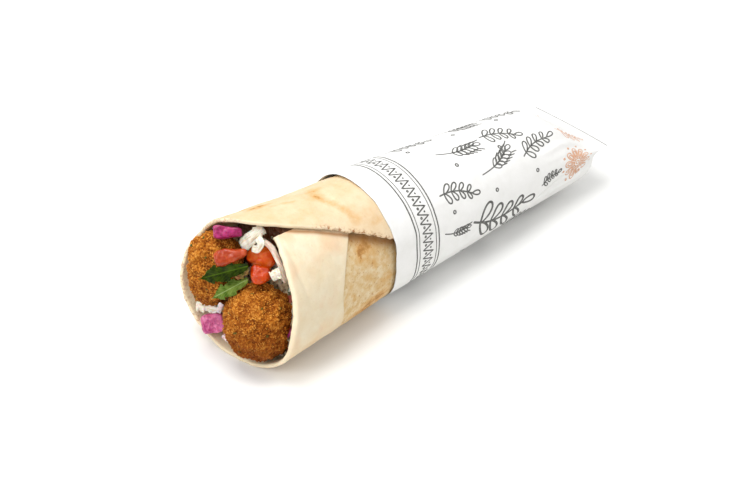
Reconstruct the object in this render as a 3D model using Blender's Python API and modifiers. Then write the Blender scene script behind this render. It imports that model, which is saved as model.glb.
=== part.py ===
"""Falafel wrap: flatbread rolled round falafel and salad, in a paper sleeve pinched shut at its tail.

The roll lies along X, with its open end towards -X and the paper tail towards +X. The origin is the
middle of the surface that the wrap rests on, +Z is up, and lengths are in metres.

Two numbers place a point on the roll. Its station is the distance back from the open rim, and its
angle goes round the roll from the top, over the near side (-Y), the bottom and the far side (+Y).
Past a full turn the angle means the flap, which is the outer layer where the bread overlaps itself.
Pieces inside the roll are placed by (station, across, height), where across is Y.
"""

import math

import bmesh
import bpy
from mathutils import Matrix, Vector, noise

# Driving dimensions
WRAP_LENGTH = 0.237
FALAFEL_DIAMETER = 0.034
BREAD_THICKNESS = 0.0021
CUFF_THICKNESS = 0.0016
PAPER_THICKNESS = 0.0004
CLEARANCE = 0.0003
FLAT_DEPTH = 0.0009
ORIGIN_STATION = 0.1109
ORIGIN_ACROSS = 0.0009

# The roll's outside, as (station, half width) and (station, half height)
HALF_WIDTHS = [(0.000, 0.0388), (0.080, 0.0312), (0.150, 0.0278), (0.205, 0.0252)]
HALF_HEIGHTS = [(0.000, 0.0384), (0.080, 0.0331), (0.150, 0.0290), (0.205, 0.0243)]

# The bread's edges: the flap as (station, angle), the rim and the cuff as (angle, station)
INNER_EDGE_ANGLE = 15.0
FLAP_EDGE = [(0.0048, 337.0), (0.010, 353.7), (0.015, 362.8), (0.025, 374.6), (0.036, 385.2),
             (0.049, 397.3), (0.061, 408.7), (0.076, 423.9), (0.190, 430.0)]
RIM_SETBACK = [(15.0, 0.0155), (33.0, 0.0118), (49.0, 0.0090), (72.0, 0.0064), (100.0, 0.0026),
               (150.0, -0.0002), (186.0, -0.0039), (210.0, -0.0055), (239.0, -0.0070), (260.0, -0.0061),
               (279.0, -0.0020), (297.0, 0.0042), (313.0, 0.0054), (340.0, 0.0048)]
BREAD_END = 0.190
CUFF_EDGE = [(15.0, 0.0600), (41.7, 0.0523), (59.7, 0.0445), (75.4, 0.0396), (92.0, 0.0370), (131.0, 0.0385)]
CUFF_FADE = (125.0, 165.0)
LAYER_FADE = (72.0, 128.0)

# The paper sleeve
SLEEVE_MOUTH = 0.0748
PINCH_START = 0.196
UNDERSIDE_PINCH_START = 0.214
TAIL_HEIGHT = 0.0265
TAIL_HALF_WIDTH = 0.0260
TAIL_HALF_THICKNESS = 0.0007


def ease(share):
    """0 to 1 with a soft start and end."""
    share = min(1.0, max(0.0, share))
    return share * share * (3.0 - 2.0 * share)


def mix(start, end, share):
    return start + (end - start) * share


def along(table, place):
    """The value at a place in a table of (place, value) pairs, straight between them."""
    if place <= table[0][0]:
        return table[0][1]
    for (low, first), (high, second) in zip(table, table[1:]):
        if place <= high:
            return mix(first, second, (place - low) / (high - low))
    return table[-1][1]


def spot(station, across, height):
    """A point inside the roll."""
    return Vector((station - ORIGIN_STATION, across - ORIGIN_ACROSS, height))


def lift(station):
    """How far the bread is off the table: the sleeve's wall and clearance, once it is inside."""
    return (PAPER_THICKNESS + CLEARANCE) * ease((station - 0.050) / 0.022)


UNEVENNESS = 0.0006
UNEVEN_PATCH = 0.017


def unevenness(turn, station):
    """The soft dents and swells of hand-rolled bread, on the bare part, clear of its flat underside."""
    place = Vector((station, 0.035 * math.sin(turn), 0.035 * math.cos(turn))) / UNEVEN_PATCH
    bare = 1.0 - ease((station - 0.045) / 0.022)
    return UNEVENNESS * noise.noise(place) * bare * ease((math.cos(turn) + 0.88) / 0.5)


def roll_point(angle, station, inset=0.0):
    """The point at this angle and station, inset from the roll's outside and flat underneath."""
    turn = math.radians(angle)
    depth = inset + unevenness(turn, station)
    half_width = along(HALF_WIDTHS, station)
    half_height = along(HALF_HEIGHTS, station)
    floor = lift(station)
    across = -(half_width - depth) * math.sin(turn)
    height = floor + half_height - FLAT_DEPTH + (half_height - depth) * math.cos(turn)
    return spot(station, across, max(height, floor + inset))


def material(name, colour, roughness):
    """A plain Principled material."""
    made = bpy.data.materials.new(name)
    made.use_nodes = True
    shader = made.node_tree.nodes["Principled BSDF"]
    shader.inputs["Base Color"].default_value = (*colour, 1.0)
    shader.inputs["Roughness"].default_value = roughness
    shader.inputs["Metallic"].default_value = 0.0
    return made


def add_object(name, bm, collection, finish):
    """A named object from a bmesh, in a collection, with its material, shaded smooth."""
    mesh = bpy.data.meshes.new(name)
    bm.to_mesh(mesh)
    bm.free()
    mesh.materials.append(finish)
    mesh.shade_smooth()
    placed = bpy.data.objects.new(name, mesh)
    collection.objects.link(placed)
    return placed


def thicken(placed, thickness, centred=False):
    """Give a sheet its wall: inwards and even for the wraps, or to both sides for a small piece."""
    wall = placed.modifiers.new("wall", "SOLIDIFY")
    wall.thickness = thickness
    wall.offset = 0.0 if centred else -1.0
    wall.use_even_offset = not centred
    return wall


def carve(placed, cutter):
    """Cut a hidden shape out of an object."""
    cutter.display_type = "WIRE"
    cutter.hide_render = True
    cut = placed.modifiers.new("cut round " + cutter.name, "BOOLEAN")
    cut.operation = "DIFFERENCE"
    cut.solver = "EXACT"
    cut.object = cutter


def clear_scene():
    for old in list(bpy.data.objects):
        bpy.data.objects.remove(old, do_unlink=True)


# Flatbread

BREAD_STEPS_ROUND = 56
BREAD_ROWS_CUFF = 5
BREAD_ROWS_REST = 10
CUFF_STEP = 0.0008


def layer_inset(angle):
    """The inner layer runs one bread thickness inside the flap, and comes out to the roll's own form."""
    low, high = LAYER_FADE
    return (BREAD_THICKNESS + CLEARANCE) * (1.0 - ease((angle - low) / (high - low)))


def cuff_share(angle):
    low, high = CUFF_FADE
    return 1.0 - ease((angle - low) / (high - low))


def bread_station(row, angle):
    """The station of a grid row: the cuff's rows, one narrow row for its step, and the rest."""
    front = along(RIM_SETBACK, angle)
    edge = along(CUFF_EDGE, angle)
    if row <= BREAD_ROWS_CUFF:
        return mix(front, edge, row / BREAD_ROWS_CUFF)
    share = (row - BREAD_ROWS_CUFF - 1) / BREAD_ROWS_REST
    return mix(edge + CUFF_STEP, BREAD_END, share)


def flap_angle(row):
    """Where a grid row meets the flap's edge."""
    angle = FLAP_EDGE[0][1]
    for _ in range(8):
        angle = along(FLAP_EDGE, bread_station(row, angle))
    return angle


def make_bread(collection, finish):
    """One sheet rolled round the filling. Its rim is turned back as a cuff on the near side."""
    rows = BREAD_ROWS_CUFF + 1 + BREAD_ROWS_REST
    bm = bmesh.new()
    bmesh.ops.create_grid(bm, x_segments=BREAD_STEPS_ROUND, y_segments=rows, size=0.5)
    thickest = BREAD_THICKNESS + CUFF_THICKNESS
    weights = []
    for vertex in bm.verts:
        share = vertex.co.x + 0.5
        row = round((vertex.co.y + 0.5) * rows)
        angle = mix(INNER_EDGE_ANGLE, flap_angle(row), share)
        cuff = CUFF_THICKNESS * cuff_share(angle)
        behind = row > BREAD_ROWS_CUFF
        inset = layer_inset(angle) + (cuff if behind else 0.0)
        vertex.co = roll_point(angle, bread_station(row, angle), inset)
        weights.append((BREAD_THICKNESS + (0.0 if behind else cuff)) / thickest)
    bread = add_object("flatbread", bm, collection, finish)
    group = bread.vertex_groups.new(name="thickness")
    for index, weight in enumerate(weights):
        group.add([index], weight, "REPLACE")
    thicken(bread, thickest).vertex_group = group.name
    return bread


# Paper sleeve

SLEEVE_STEPS_ROUND = 44
SLEEVE_ROWS = 15
MOUTH_LOOSENESS = 0.0022
LOOSE_ANGLE = -35.0
LOOSE_SPREAD = 70.0
LOOSE_REACH = 0.060


def sleeve_looseness(angle, station):
    """The sleeve stands off the bread at the top of the far side, most at its mouth."""
    apart = abs((angle - LOOSE_ANGLE + 180.0) % 360.0 - 180.0)
    round_share = 1.0 - ease(apart / LOOSE_SPREAD)
    back_share = 1.0 - ease((station - SLEEVE_MOUTH) / LOOSE_REACH)
    return MOUTH_LOOSENESS * round_share * back_share


def sleeve_point(angle, station):
    """The sleeve's outside: the roll's form, then a pinch that flattens it to the tail's edge."""
    stand_off = CLEARANCE + PAPER_THICKNESS + sleeve_looseness(angle, station)
    body = roll_point(angle, min(station, PINCH_START), -stand_off)
    turn = math.radians(angle)
    start = mix(UNDERSIDE_PINCH_START, PINCH_START, (1.0 + math.cos(turn)) / 2)
    pinch = ease((station - start) / (WRAP_LENGTH - start))
    lens = math.cos(turn) * mix(1.0, abs(math.cos(turn)), pinch)
    tail = spot(station, -TAIL_HALF_WIDTH * math.sin(turn), TAIL_HEIGHT + TAIL_HALF_THICKNESS * lens)
    point = body.lerp(tail, pinch)
    point.x = tail.x
    return point


def make_sleeve(collection, finish):
    """A paper tube round the rear of the roll, open at the mouth and pressed flat at the tail."""
    bm = bmesh.new()
    bmesh.ops.create_grid(bm, x_segments=SLEEVE_STEPS_ROUND, y_segments=SLEEVE_ROWS, size=0.5)
    for vertex in bm.verts:
        angle = 360.0 * (vertex.co.x + 0.5) + 90.0
        station = mix(SLEEVE_MOUTH, WRAP_LENGTH, vertex.co.y + 0.5)
        vertex.co = sleeve_point(angle, station)
    bmesh.ops.remove_doubles(bm, verts=bm.verts, dist=1e-6)
    sleeve = add_object("paper_sleeve", bm, collection, finish)
    thicken(sleeve, PAPER_THICKNESS)
    return sleeve


# Falafel: oval, with a crust of crags

NEAR_CENTRE = (0.0040, -0.0093, 0.0248)
NEAR_PROPORTIONS = (1.00, 1.04, 1.13)
FAR_CENTRE = (0.0012, 0.0199, 0.0424)
FAR_PROPORTIONS = (0.88, 0.82, 1.13)
CRAG_DEPTH = 0.0015
CRAG_SIZE = 0.0052


def crust_mesh(centre, proportions, grow=0.0):
    """An oval ball with a craggy surface, pushed outwards by grow."""
    bm = bmesh.new()
    bmesh.ops.create_icosphere(bm, subdivisions=4, radius=1.0)
    middle = spot(*centre)
    for vertex in bm.verts:
        outward = vertex.co.normalized()
        reach = Vector([FALAFEL_DIAMETER / 2 * side * part for side, part in zip(proportions, outward)])
        crag = CRAG_DEPTH * noise.fractal((Vector(centre) + reach) / CRAG_SIZE, 0.7, 2.0, 3)
        vertex.co = middle + reach + outward * (crag + grow)
    return bm


# Salad core: the filling that runs through the roll behind the pieces at its open end

CORE_STEPS_ROUND = 32
CORE_FRONT_RINGS = 7
CORE_BODY_RINGS = 6
CORE_REAR_RINGS = 2
CORE_CLEARANCE = 0.0006
CORE_FRONT_LOW = 0.0085
CORE_FRONT_HIGH = 0.0264
CORE_SLOPE = (0.022, 0.046)
CORE_END = 0.184
CORE_LUMPS = 0.0016
BALL_CLEARANCE = 0.00035


def core_inset(angle):
    """How far inside the roll's outside the core's skin is: under one or two layers and the cuff."""
    past_top = (angle + 180.0) % 360.0 - 180.0
    inner = layer_inset(past_top) + CUFF_THICKNESS * cuff_share(past_top)
    under_inner = ease((past_top + 10.0) / 12.0) if past_top < 90.0 else 1.0
    if past_top < -10.0:
        inner = 0.0
    return BREAD_THICKNESS + CORE_CLEARANCE + inner * under_inner


def core_front(across, height):
    """The station of the core's front, low down near the rim and set back at the top, with lumps."""
    low, high = CORE_SLOPE
    station = mix(CORE_FRONT_LOW, CORE_FRONT_HIGH, ease((height - low) / (high - low)))
    return station + CORE_LUMPS * noise.fractal(Vector((station, across, height)) / 0.006, 0.7, 2.0, 3)


def make_core(collection, finish, hidden):
    """A lumpy body inside the bread, hollowed where the two falafel sit in its front."""
    rings = CORE_FRONT_RINGS + CORE_BODY_RINGS + CORE_REAR_RINGS
    bm = bmesh.new()
    bmesh.ops.create_uvsphere(bm, u_segments=CORE_STEPS_ROUND, v_segments=rings + 1, radius=1.0)
    for vertex in bm.verts:
        polar = math.acos(max(-1.0, min(1.0, vertex.co.z)))
        ring = polar / math.pi * (rings + 1)
        angle = math.degrees(math.atan2(vertex.co.x, vertex.co.y)) if 0.01 < ring < rings + 0.99 else 0.0
        if ring <= CORE_FRONT_RINGS:
            rim = roll_point(angle, CORE_FRONT_LOW, core_inset(angle))
            middle = spot(0.0, 0.0, along(HALF_HEIGHTS, 0.0))
            flat = middle.lerp(rim, ring / CORE_FRONT_RINGS)
            station = core_front(flat.y, flat.z)
            rim = roll_point(angle, station, core_inset(angle))
            vertex.co = spot(station, 0.0, along(HALF_HEIGHTS, station)).lerp(rim, ring / CORE_FRONT_RINGS)
        elif ring <= CORE_FRONT_RINGS + CORE_BODY_RINGS:
            share = (ring - CORE_FRONT_RINGS) / CORE_BODY_RINGS
            vertex.co = roll_point(angle, mix(0.030, CORE_END, share), core_inset(angle))
        else:
            share = (ring - CORE_FRONT_RINGS - CORE_BODY_RINGS) / (CORE_REAR_RINGS + 1)
            rim = roll_point(angle, CORE_END, core_inset(angle))
            vertex.co = rim.lerp(spot(CORE_END, 0.0, along(HALF_HEIGHTS, CORE_END)), share)
    bmesh.ops.recalc_face_normals(bm, faces=bm.faces)
    core = add_object("salad_core", bm, collection, finish)
    for centre, proportions in ((NEAR_CENTRE, NEAR_PROPORTIONS), (FAR_CENTRE, FAR_PROPORTIONS)):
        carve(core, add_object("falafel_pocket", crust_mesh(centre, proportions, BALL_CLEARANCE), hidden, finish))
    return core


# Diced pieces: pickled turnip and tomato. Their faces lean out of the open end by one tilt.

LEAN = Matrix.Rotation(math.radians(-43.5), 3, "Z") @ Matrix.Rotation(math.radians(53.0), 3, "X")
DICE = [
    # name, (station, across, height), (length, width, depth), spin in its face, material
    ("pickled_turnip_top", (0.0052, 0.0126, 0.0659), (0.0128, 0.0060, 0.0058), -2.0, "turnip"),
    ("pickled_turnip_low", (-0.0035, 0.0167, 0.0128), (0.0107, 0.0086, 0.0068), 12.0, "turnip"),
    ("tomato_dice_left", (-0.0007, 0.0037, 0.0599), (0.0145, 0.0085, 0.0068), 16.0, "tomato"),
    ("tomato_dice_right", (0.0160, 0.0014, 0.0516), (0.0135, 0.0085, 0.0078), -12.0, "tomato"),
    ("tomato_dice_low", (0.0072, -0.0083, 0.0511), (0.0086, 0.0100, 0.0076), 4.0, "tomato"),
]
DICE_SKEW = 0.16
DICE_CREASE = 0.45
# Vector noise follows the clock until a seed is set; this one gives these cuts on every run
DICE_SEED = 1795792460
noise.seed_set(DICE_SEED)


def make_block(name, centre, size, spin, collection, finish, grow=0.0):
    """A soft-edged block, a little out of square, pushed outwards by grow."""
    bm = bmesh.new()
    bmesh.ops.create_cube(bm, size=1.0)
    turn = LEAN @ Matrix.Rotation(math.radians(spin), 3, "Z")
    for vertex in bm.verts:
        skew = noise.noise_vector(vertex.co * 3.1 + Vector(centre) * 400.0) * DICE_SKEW
        corner = [(side * 1.12 + 2.0 * grow) * part for side, part in zip(size, vertex.co + skew)]
        vertex.co = spot(*centre) + turn @ Vector(corner)
    crease = bm.edges.layers.float.new("crease_edge")
    for edge in bm.edges:
        edge[crease] = DICE_CREASE
    block = add_object(name, bm, collection, finish)
    rounding = block.modifiers.new("soft edges", "SUBSURF")
    rounding.levels = 2
    rounding.render_levels = 2
    return block


def make_dice(collection, finishes):
    for name, centre, size, spin, finish in DICE:
        make_block(name, centre, size, spin, collection, finishes[finish])


# Shreds: cabbage and onion strips, each a flat strip swept along a bent path

SHREDS = [
    # name, path of (station, across, height), width, thickness, raggedness, material
    ("cabbage_sheet", [(0.0175, 0.0011, 0.0680), (0.0138, 0.0008, 0.0672), (0.0109, 0.0022, 0.0634),
                       (0.0094, 0.0058, 0.0588)], 0.0062, 0.0012, 0.35, "cabbage"),
    ("cabbage_curl", [(0.0105, -0.0027, 0.0679), (0.0090, -0.0073, 0.0683), (0.0080, -0.0061, 0.0647),
                      (0.0085, -0.0011, 0.0622)], 0.0022, 0.0010, 0.15, "cabbage"),
    ("cabbage_strip", [(0.0160, 0.0012, 0.0624), (0.0150, -0.0065, 0.0630), (0.0145, -0.0119, 0.0597),
                       (0.0140, -0.0157, 0.0551), (0.0140, -0.0183, 0.0482)], 0.0021, 0.0011, 0.10, "cabbage"),
    ("cabbage_end", [(0.0078, -0.0150, 0.0531), (0.0085, -0.0172, 0.0552), (0.0090, -0.0210, 0.0583)],
     0.0050, 0.0020, 0.30, "cabbage"),
    ("cabbage_low", [(-0.0044, 0.0284, 0.0177), (-0.0025, 0.0235, 0.0187), (-0.0003, 0.0168, 0.0205)],
     0.0034, 0.0012, 0.30, "cabbage"),
    ("onion_middle", [(-0.0022, 0.0140, 0.0202), (-0.0027, 0.0122, 0.0241), (-0.0044, 0.0080, 0.0309)],
     0.0026, 0.0010, 0.10, "onion"),
    ("onion_low", [(-0.0022, 0.0107, 0.0087), (-0.0022, 0.0086, 0.0079), (-0.0018, 0.0048, 0.0070)],
     0.0030, 0.0012, 0.10, "onion"),
]
SHRED_STEPS = 9


def bend(path, share):
    """A point on the smooth curve through a path's points."""
    place = share * (len(path) - 1)
    index = min(int(place), len(path) - 2)
    inner = place - index
    before = path[max(index - 1, 0)]
    start = path[index]
    end = path[index + 1]
    after = path[min(index + 2, len(path) - 1)]
    curve = 2.0 * start + (end - before) * inner
    curve += (2.0 * before - 5.0 * start + 4.0 * end - after) * inner ** 2
    curve += (3.0 * start - before - 3.0 * end + after) * inner ** 3
    return curve * 0.5


def make_shreds(collection, finishes):
    """Each strip is a ribbon that faces out of the open end, then given its thickness."""
    outward = LEAN @ Vector((0.0, 0.0, 1.0))
    for name, points, width, thickness, ragged, finish in SHREDS:
        path = [spot(*point) for point in points]
        bm = bmesh.new()
        bmesh.ops.create_grid(bm, x_segments=SHRED_STEPS, y_segments=2, size=0.5)
        for vertex in bm.verts:
            share = vertex.co.x + 0.5
            middle = bend(path, share)
            ahead = bend(path, min(share + 0.05, 1.0)) - bend(path, max(share - 0.05, 0.0))
            side = outward.cross(ahead).normalized()
            wander = noise.noise(Vector((share * 6.0, vertex.co.y * 2.0, width * 900.0)))
            reach = width * vertex.co.y * (1.0 + ragged * 2.0 * wander)
            arch = thickness * 0.5 * (1.0 - abs(vertex.co.y) * 2.0)
            vertex.co = middle + side * reach + outward * arch
        strip = add_object(name, bm, collection, finishes[finish])
        thicken(strip, thickness, centred=True)


# Parsley leaves: thin, toothed and arched

LEAVES = [
    # name, stalk end, tip, width, arch, material
    ("parsley_dark", (0.0021, -0.0058, 0.0575), (-0.0147, 0.0112, 0.0491), 0.0096, 0.0022, "parsley"),
    ("parsley_light", (0.0027, -0.0045, 0.0488), (-0.0105, 0.0078, 0.0370), 0.0088, 0.0013, "parsley"),
    ("parsley_middle", (0.0023, -0.0055, 0.0550), (-0.0024, 0.0016, 0.0492), 0.0066, 0.0004, "parsley"),
]
LEAF_THICKNESS = 0.0005
LEAF_TEETH = 3
LEAF_TOOTH_DEPTH = 0.5
LEAF_STEPS = 15
TUCKED_LEAF = "parsley_dark"
TUCKED_UNDER = "tomato_dice_left"
TUCK_GAP = 0.0004


def leaf_half_width(share):
    """A leaf's half width from its stalk (0) to its tip (1): a broad blade cut into lobes."""
    blade = math.sin(math.pi * min(1.0, share * 0.94 + 0.06)) ** 0.8
    tooth = (min(share, 0.999) * LEAF_TEETH) % 1.0
    return max(0.04, blade * (1.0 - LEAF_TOOTH_DEPTH * tooth) * min(1.0, (1.0 - share) * 5.0 + 0.05))


def make_leaves(collection, finishes, hidden):
    """Each leaf lies across the pieces behind it, arched along its length and folded at its rib."""
    outward = LEAN @ Vector((0.0, 0.0, 1.0))
    for name, stalk, tip, width, arch, finish in LEAVES:
        start = spot(*stalk)
        length = spot(*tip) - start
        side = outward.cross(length).normalized()
        face = length.cross(side).normalized()
        bm = bmesh.new()
        bmesh.ops.create_grid(bm, x_segments=LEAF_STEPS, y_segments=4, size=0.5)
        for vertex in bm.verts:
            share = vertex.co.x + 0.5
            across = vertex.co.y * leaf_half_width(share)
            rise = arch * math.sin(math.pi * share) - width * 0.18 * abs(across)
            ripple = 0.0004 * math.sin(share * 19.0 + vertex.co.y * 5.0)
            vertex.co = start + length * share + side * width * across + face * (rise + ripple)
        bmesh.ops.triangulate(bm, faces=bm.faces)
        leaf = add_object(name, bm, collection, finishes[finish])
        thicken(leaf, LEAF_THICKNESS, centred=True)
        if name == TUCKED_LEAF:
            _, centre, size, spin, dice_finish = next(dice for dice in DICE if dice[0] == TUCKED_UNDER)
            carve(leaf, make_block("leaf_tuck", centre, size, spin, hidden, finishes[dice_finish], TUCK_GAP))


def build():
    clear_scene()
    wrap = bpy.data.collections.new("falafel_wrap")
    cutters = bpy.data.collections.new("cutters")
    bpy.context.scene.collection.children.link(wrap)
    bpy.context.scene.collection.children.link(cutters)
    crust = material("fried falafel crust", (0.36, 0.17, 0.05), 0.8)
    finishes = {
        "turnip": material("pickled turnip", (0.62, 0.06, 0.30), 0.35),
        "tomato": material("tomato flesh", (0.72, 0.09, 0.03), 0.3),
        "cabbage": material("white cabbage", (0.84, 0.80, 0.68), 0.45),
        "onion": material("pale onion", (0.86, 0.72, 0.68), 0.4),
        "parsley": material("parsley leaf", (0.07, 0.20, 0.03), 0.5),
    }
    make_bread(wrap, material("toasted flatbread", (0.86, 0.70, 0.48), 0.7))
    make_sleeve(wrap, material("greaseproof paper", (0.92, 0.91, 0.89), 0.6))
    make_core(wrap, material("mixed salad", (0.62, 0.58, 0.36), 0.5), cutters)
    add_object("falafel_near", crust_mesh(NEAR_CENTRE, NEAR_PROPORTIONS), wrap, crust)
    add_object("falafel_far", crust_mesh(FAR_CENTRE, FAR_PROPORTIONS), wrap, crust)
    make_dice(wrap, finishes)
    make_shreds(wrap, finishes)
    make_leaves(wrap, finishes, cutters)


build()
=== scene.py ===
"""The looks of a falafel wrap: a rolled flatbread with its filling, in a printed paper sleeve.

Lengths are in metres. A place on the roll is an angle and a station: the angle goes round from the
top over the near side, and the station is the distance back from the open rim. The roll's own forms
repeat the values of the CAD source, so each piece lies where its solid does.
"""

import math

import bmesh
import bpy
from mathutils import Matrix, Vector, noise


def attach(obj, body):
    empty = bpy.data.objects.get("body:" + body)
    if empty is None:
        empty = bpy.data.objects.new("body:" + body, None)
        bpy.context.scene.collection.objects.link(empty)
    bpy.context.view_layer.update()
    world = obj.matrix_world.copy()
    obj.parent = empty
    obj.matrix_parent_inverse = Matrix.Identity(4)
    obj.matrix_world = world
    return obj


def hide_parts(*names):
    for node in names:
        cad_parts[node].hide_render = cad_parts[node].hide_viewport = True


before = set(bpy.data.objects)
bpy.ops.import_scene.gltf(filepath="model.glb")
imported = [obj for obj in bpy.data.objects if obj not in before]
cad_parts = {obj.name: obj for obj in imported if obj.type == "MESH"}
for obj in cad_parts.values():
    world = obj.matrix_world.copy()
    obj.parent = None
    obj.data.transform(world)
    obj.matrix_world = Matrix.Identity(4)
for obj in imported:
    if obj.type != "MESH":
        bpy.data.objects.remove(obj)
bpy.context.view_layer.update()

# Camera, floor and light
#
# A long lens looks down on the open end from the left, as in the photograph. The wrap lies on a
# plain white table in a white room, under a wide soft lamp and a weaker one at its open end.

CAMERA_PLACE = Vector((-0.5710, -0.5799, 0.6203))
CAMERA_TURN = Matrix.Rotation(math.radians(-43.5), 4, "Z") @ Matrix.Rotation(math.radians(53.0), 4, "X")
# The lens and its sensor are in millimetres
CAMERA_LENS = 94.75
SENSOR_WIDTH = 36.0
TABLE_REACH = 6.0
# The room's light, at table height and overhead
GLOW_LEVEL = 0.14
GLOW_OVERHEAD = 1.40
# Name, place, size and power in watts
LAMPS = [
    ("soft_lamp_above", (-0.20, 0.08, 1.15), 0.55, 6.4),
    ("soft_lamp_front", (-1.00, 0.06, 0.70), 0.50, 4.6),
]


def linear(code):
    """A linear colour from an sRGB hex value."""
    parts = [int(code[place:place + 2], 16) / 255 for place in (1, 3, 5)]
    return (*[part / 12.92 if part <= 0.04045 else ((part + 0.055) / 1.055) ** 2.4 for part in parts], 1.0)


def add_node(tree, kind, inputs=None, stops=None, **settings):
    """Add a node: settings are its own options, inputs are values or links, stops are a ramp's colours."""
    node = tree.nodes.new(kind)
    for option, value in settings.items():
        setattr(node, option, value)
    for socket, value in (inputs or {}).items():
        if isinstance(value, bpy.types.NodeSocket):
            tree.links.new(value, node.inputs[socket])
        else:
            node.inputs[socket].default_value = value
    for number, (place, value) in enumerate(stops or []):
        ramp = node.color_ramp.elements
        stop = ramp[number] if number < 2 else ramp.new(place)
        stop.position = place
        stop.color = value if len(value) == 4 else (*value, 1.0)
    return node


def new_material(name, **sockets):
    """A material named for its finish, with the shader's constant values on its own sockets."""
    made = bpy.data.materials.new(name)
    made.use_nodes = True
    shader = made.node_tree.nodes["Principled BSDF"]
    for socket, value in sockets.items():
        shader.inputs[socket.replace("_", " ")].default_value = value
    return made, made.node_tree, shader


camera = bpy.data.objects.new("photograph_view", bpy.data.cameras.new("photograph_view"))
camera.data.lens = CAMERA_LENS
camera.data.sensor_width = SENSOR_WIDTH
camera.matrix_world = Matrix.Translation(CAMERA_PLACE) @ CAMERA_TURN
bpy.context.scene.collection.objects.link(camera)
bpy.context.scene.camera = camera
bpy.context.scene.view_settings.view_transform = "Standard"

floor_mesh = bpy.data.meshes.new("white_table")
table_corners = [(x * TABLE_REACH, y * TABLE_REACH, 0.0) for x, y in ((-1, -1), (1, -1), (1, 1), (-1, 1))]
floor_mesh.from_pydata(table_corners, [], [(0, 1, 2, 3)])
floor = bpy.data.objects.new("white_table", floor_mesh)
table_top, _, _ = new_material(
    "white lacquered table", Base_Color=linear("#E8E8E6"), Roughness=0.8,
    Emission_Color=linear("#FFFFFF"), Emission_Strength=0.05)
floor_mesh.materials.append(table_top)
bpy.context.scene.collection.objects.link(floor)

room = bpy.data.worlds.new("white_room")
room.use_nodes = True
# The ceiling is brighter than the walls
outlook = add_node(room.node_tree, "ShaderNodeTexCoord").outputs["Generated"]
ceiling = add_node(room.node_tree, "ShaderNodeSeparateXYZ", {0: outlook}).outputs["Z"]
glow = add_node(room.node_tree, "ShaderNodeMapRange", {
    "Value": ceiling, "From Min": 0.0, "From Max": 1.0, "To Min": GLOW_LEVEL, "To Max": GLOW_OVERHEAD})
room.node_tree.nodes["Background"].inputs["Color"].default_value = linear("#FFFFFF")
room.node_tree.links.new(glow.outputs[0], room.node_tree.nodes["Background"].inputs["Strength"])
bpy.context.scene.world = room
for name, place, size, power in LAMPS:
    lamp = bpy.data.objects.new(name, bpy.data.lights.new(name, "AREA"))
    lamp.data.size = size
    lamp.data.energy = power
    lamp.location = place
    lamp.rotation_euler = (-Vector(place)).to_track_quat("-Z", "Y").to_euler()
    bpy.context.scene.collection.objects.link(lamp)

# Flatbread
#
# One soft sheet of wheat flatbread, baked on a hot plate, so it is pale with tan toasting and brown
# specks. It is rolled by hand round the filling: the near rim is turned back as a cuff that shows
# the sheet's pale inner face, and the free edge lies across the top as a flap.

BREAD_THICKNESS = 0.0021
CUFF_THICKNESS = 0.0016
PAPER_THICKNESS = 0.0004
CLEARANCE = 0.0003
# How far the roll is flattened where it lies
FLAT_DEPTH = 0.0009
# Where the frame's origin is on the roll
ORIGIN_STATION = 0.1109
ORIGIN_ACROSS = 0.0009
# The roll's radius near its open end, and its middling radius
FRONT_RADIUS = 0.035
MIDDLE_RADIUS = 0.0345
# The roll's outside, as (station, half width) and (station, half height)
HALF_WIDTHS = [(0.000, 0.0388), (0.080, 0.0312), (0.150, 0.0278), (0.205, 0.0252)]
HALF_HEIGHTS = [(0.000, 0.0384), (0.080, 0.0331), (0.150, 0.0290), (0.205, 0.0243)]
INNER_EDGE_ANGLE = 15.0
# The flap's edge as (station, angle), with the angle counted on past a full turn
FLAP_EDGE = [(0.0048, 337.0), (0.010, 353.7), (0.015, 362.8), (0.025, 374.6), (0.036, 385.2),
             (0.049, 397.3), (0.061, 408.7), (0.076, 423.9), (0.100, 428.0), (0.190, 430.0)]
# How far the rim lies back, as (angle, distance)
RIM_SETBACK = [(15.0, 0.0155), (33.0, 0.0118), (49.0, 0.0090), (72.0, 0.0064), (100.0, 0.0026),
               (150.0, -0.0002), (186.0, -0.0039), (210.0, -0.0055), (239.0, -0.0070), (260.0, -0.0061),
               (279.0, -0.0020), (297.0, 0.0042), (313.0, 0.0054), (340.0, 0.0048)]
BREAD_END = 0.190
# The cuff's cut edge, as (angle, station)
CUFF_EDGE = [(15.0, 0.0600), (41.7, 0.0523), (59.7, 0.0445), (75.4, 0.0396), (92.0, 0.0370), (131.0, 0.0385)]
# The angles between which the cuff, and the step down from one layer to the next, fade out
CUFF_FADE = (98.0, 138.0)
LAYER_FADE = (72.0, 128.0)
# Past here the paper comes in under the bread and lifts it off the table
PAPER_UNDER_START = 0.050
PAPER_UNDER_RUN = 0.022
# Dents of a sheet rolled by hand, as far back as the bread is bare
UNEVENNESS = 0.0006
UNEVEN_PATCH = 0.017
UNEVEN_END = 0.045


def ease(share):
    """0 to 1 with a soft start and end."""
    share = min(1.0, max(0.0, share))
    return share * share * (3.0 - 2.0 * share)


def mix(start, end, share):
    """The value at a share of the way from start to end."""
    return start + (end - start) * share


def curve_through(table):
    """A smooth function through a table of (place, value) pairs, level before and after it."""
    slopes = [0.0] * len(table)
    for number in range(1, len(table) - 1):
        (low, first), (_, _), (high, second) = table[number - 1:number + 2]
        slopes[number] = (second - first) / (high - low)

    def value(place):
        if place <= table[0][0]:
            return table[0][1]
        for number in range(len(table) - 1):
            (low, first), (high, second) = table[number], table[number + 1]
            if place <= high:
                span = high - low
                share = (place - low) / span
                start, end = slopes[number] * span, slopes[number + 1] * span
                gap = second - first
                return first + share * (
                    start + share * (3 * gap - 2 * start - end + share * (start + end - 2 * gap)))
        return table[-1][1]

    return value


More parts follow.
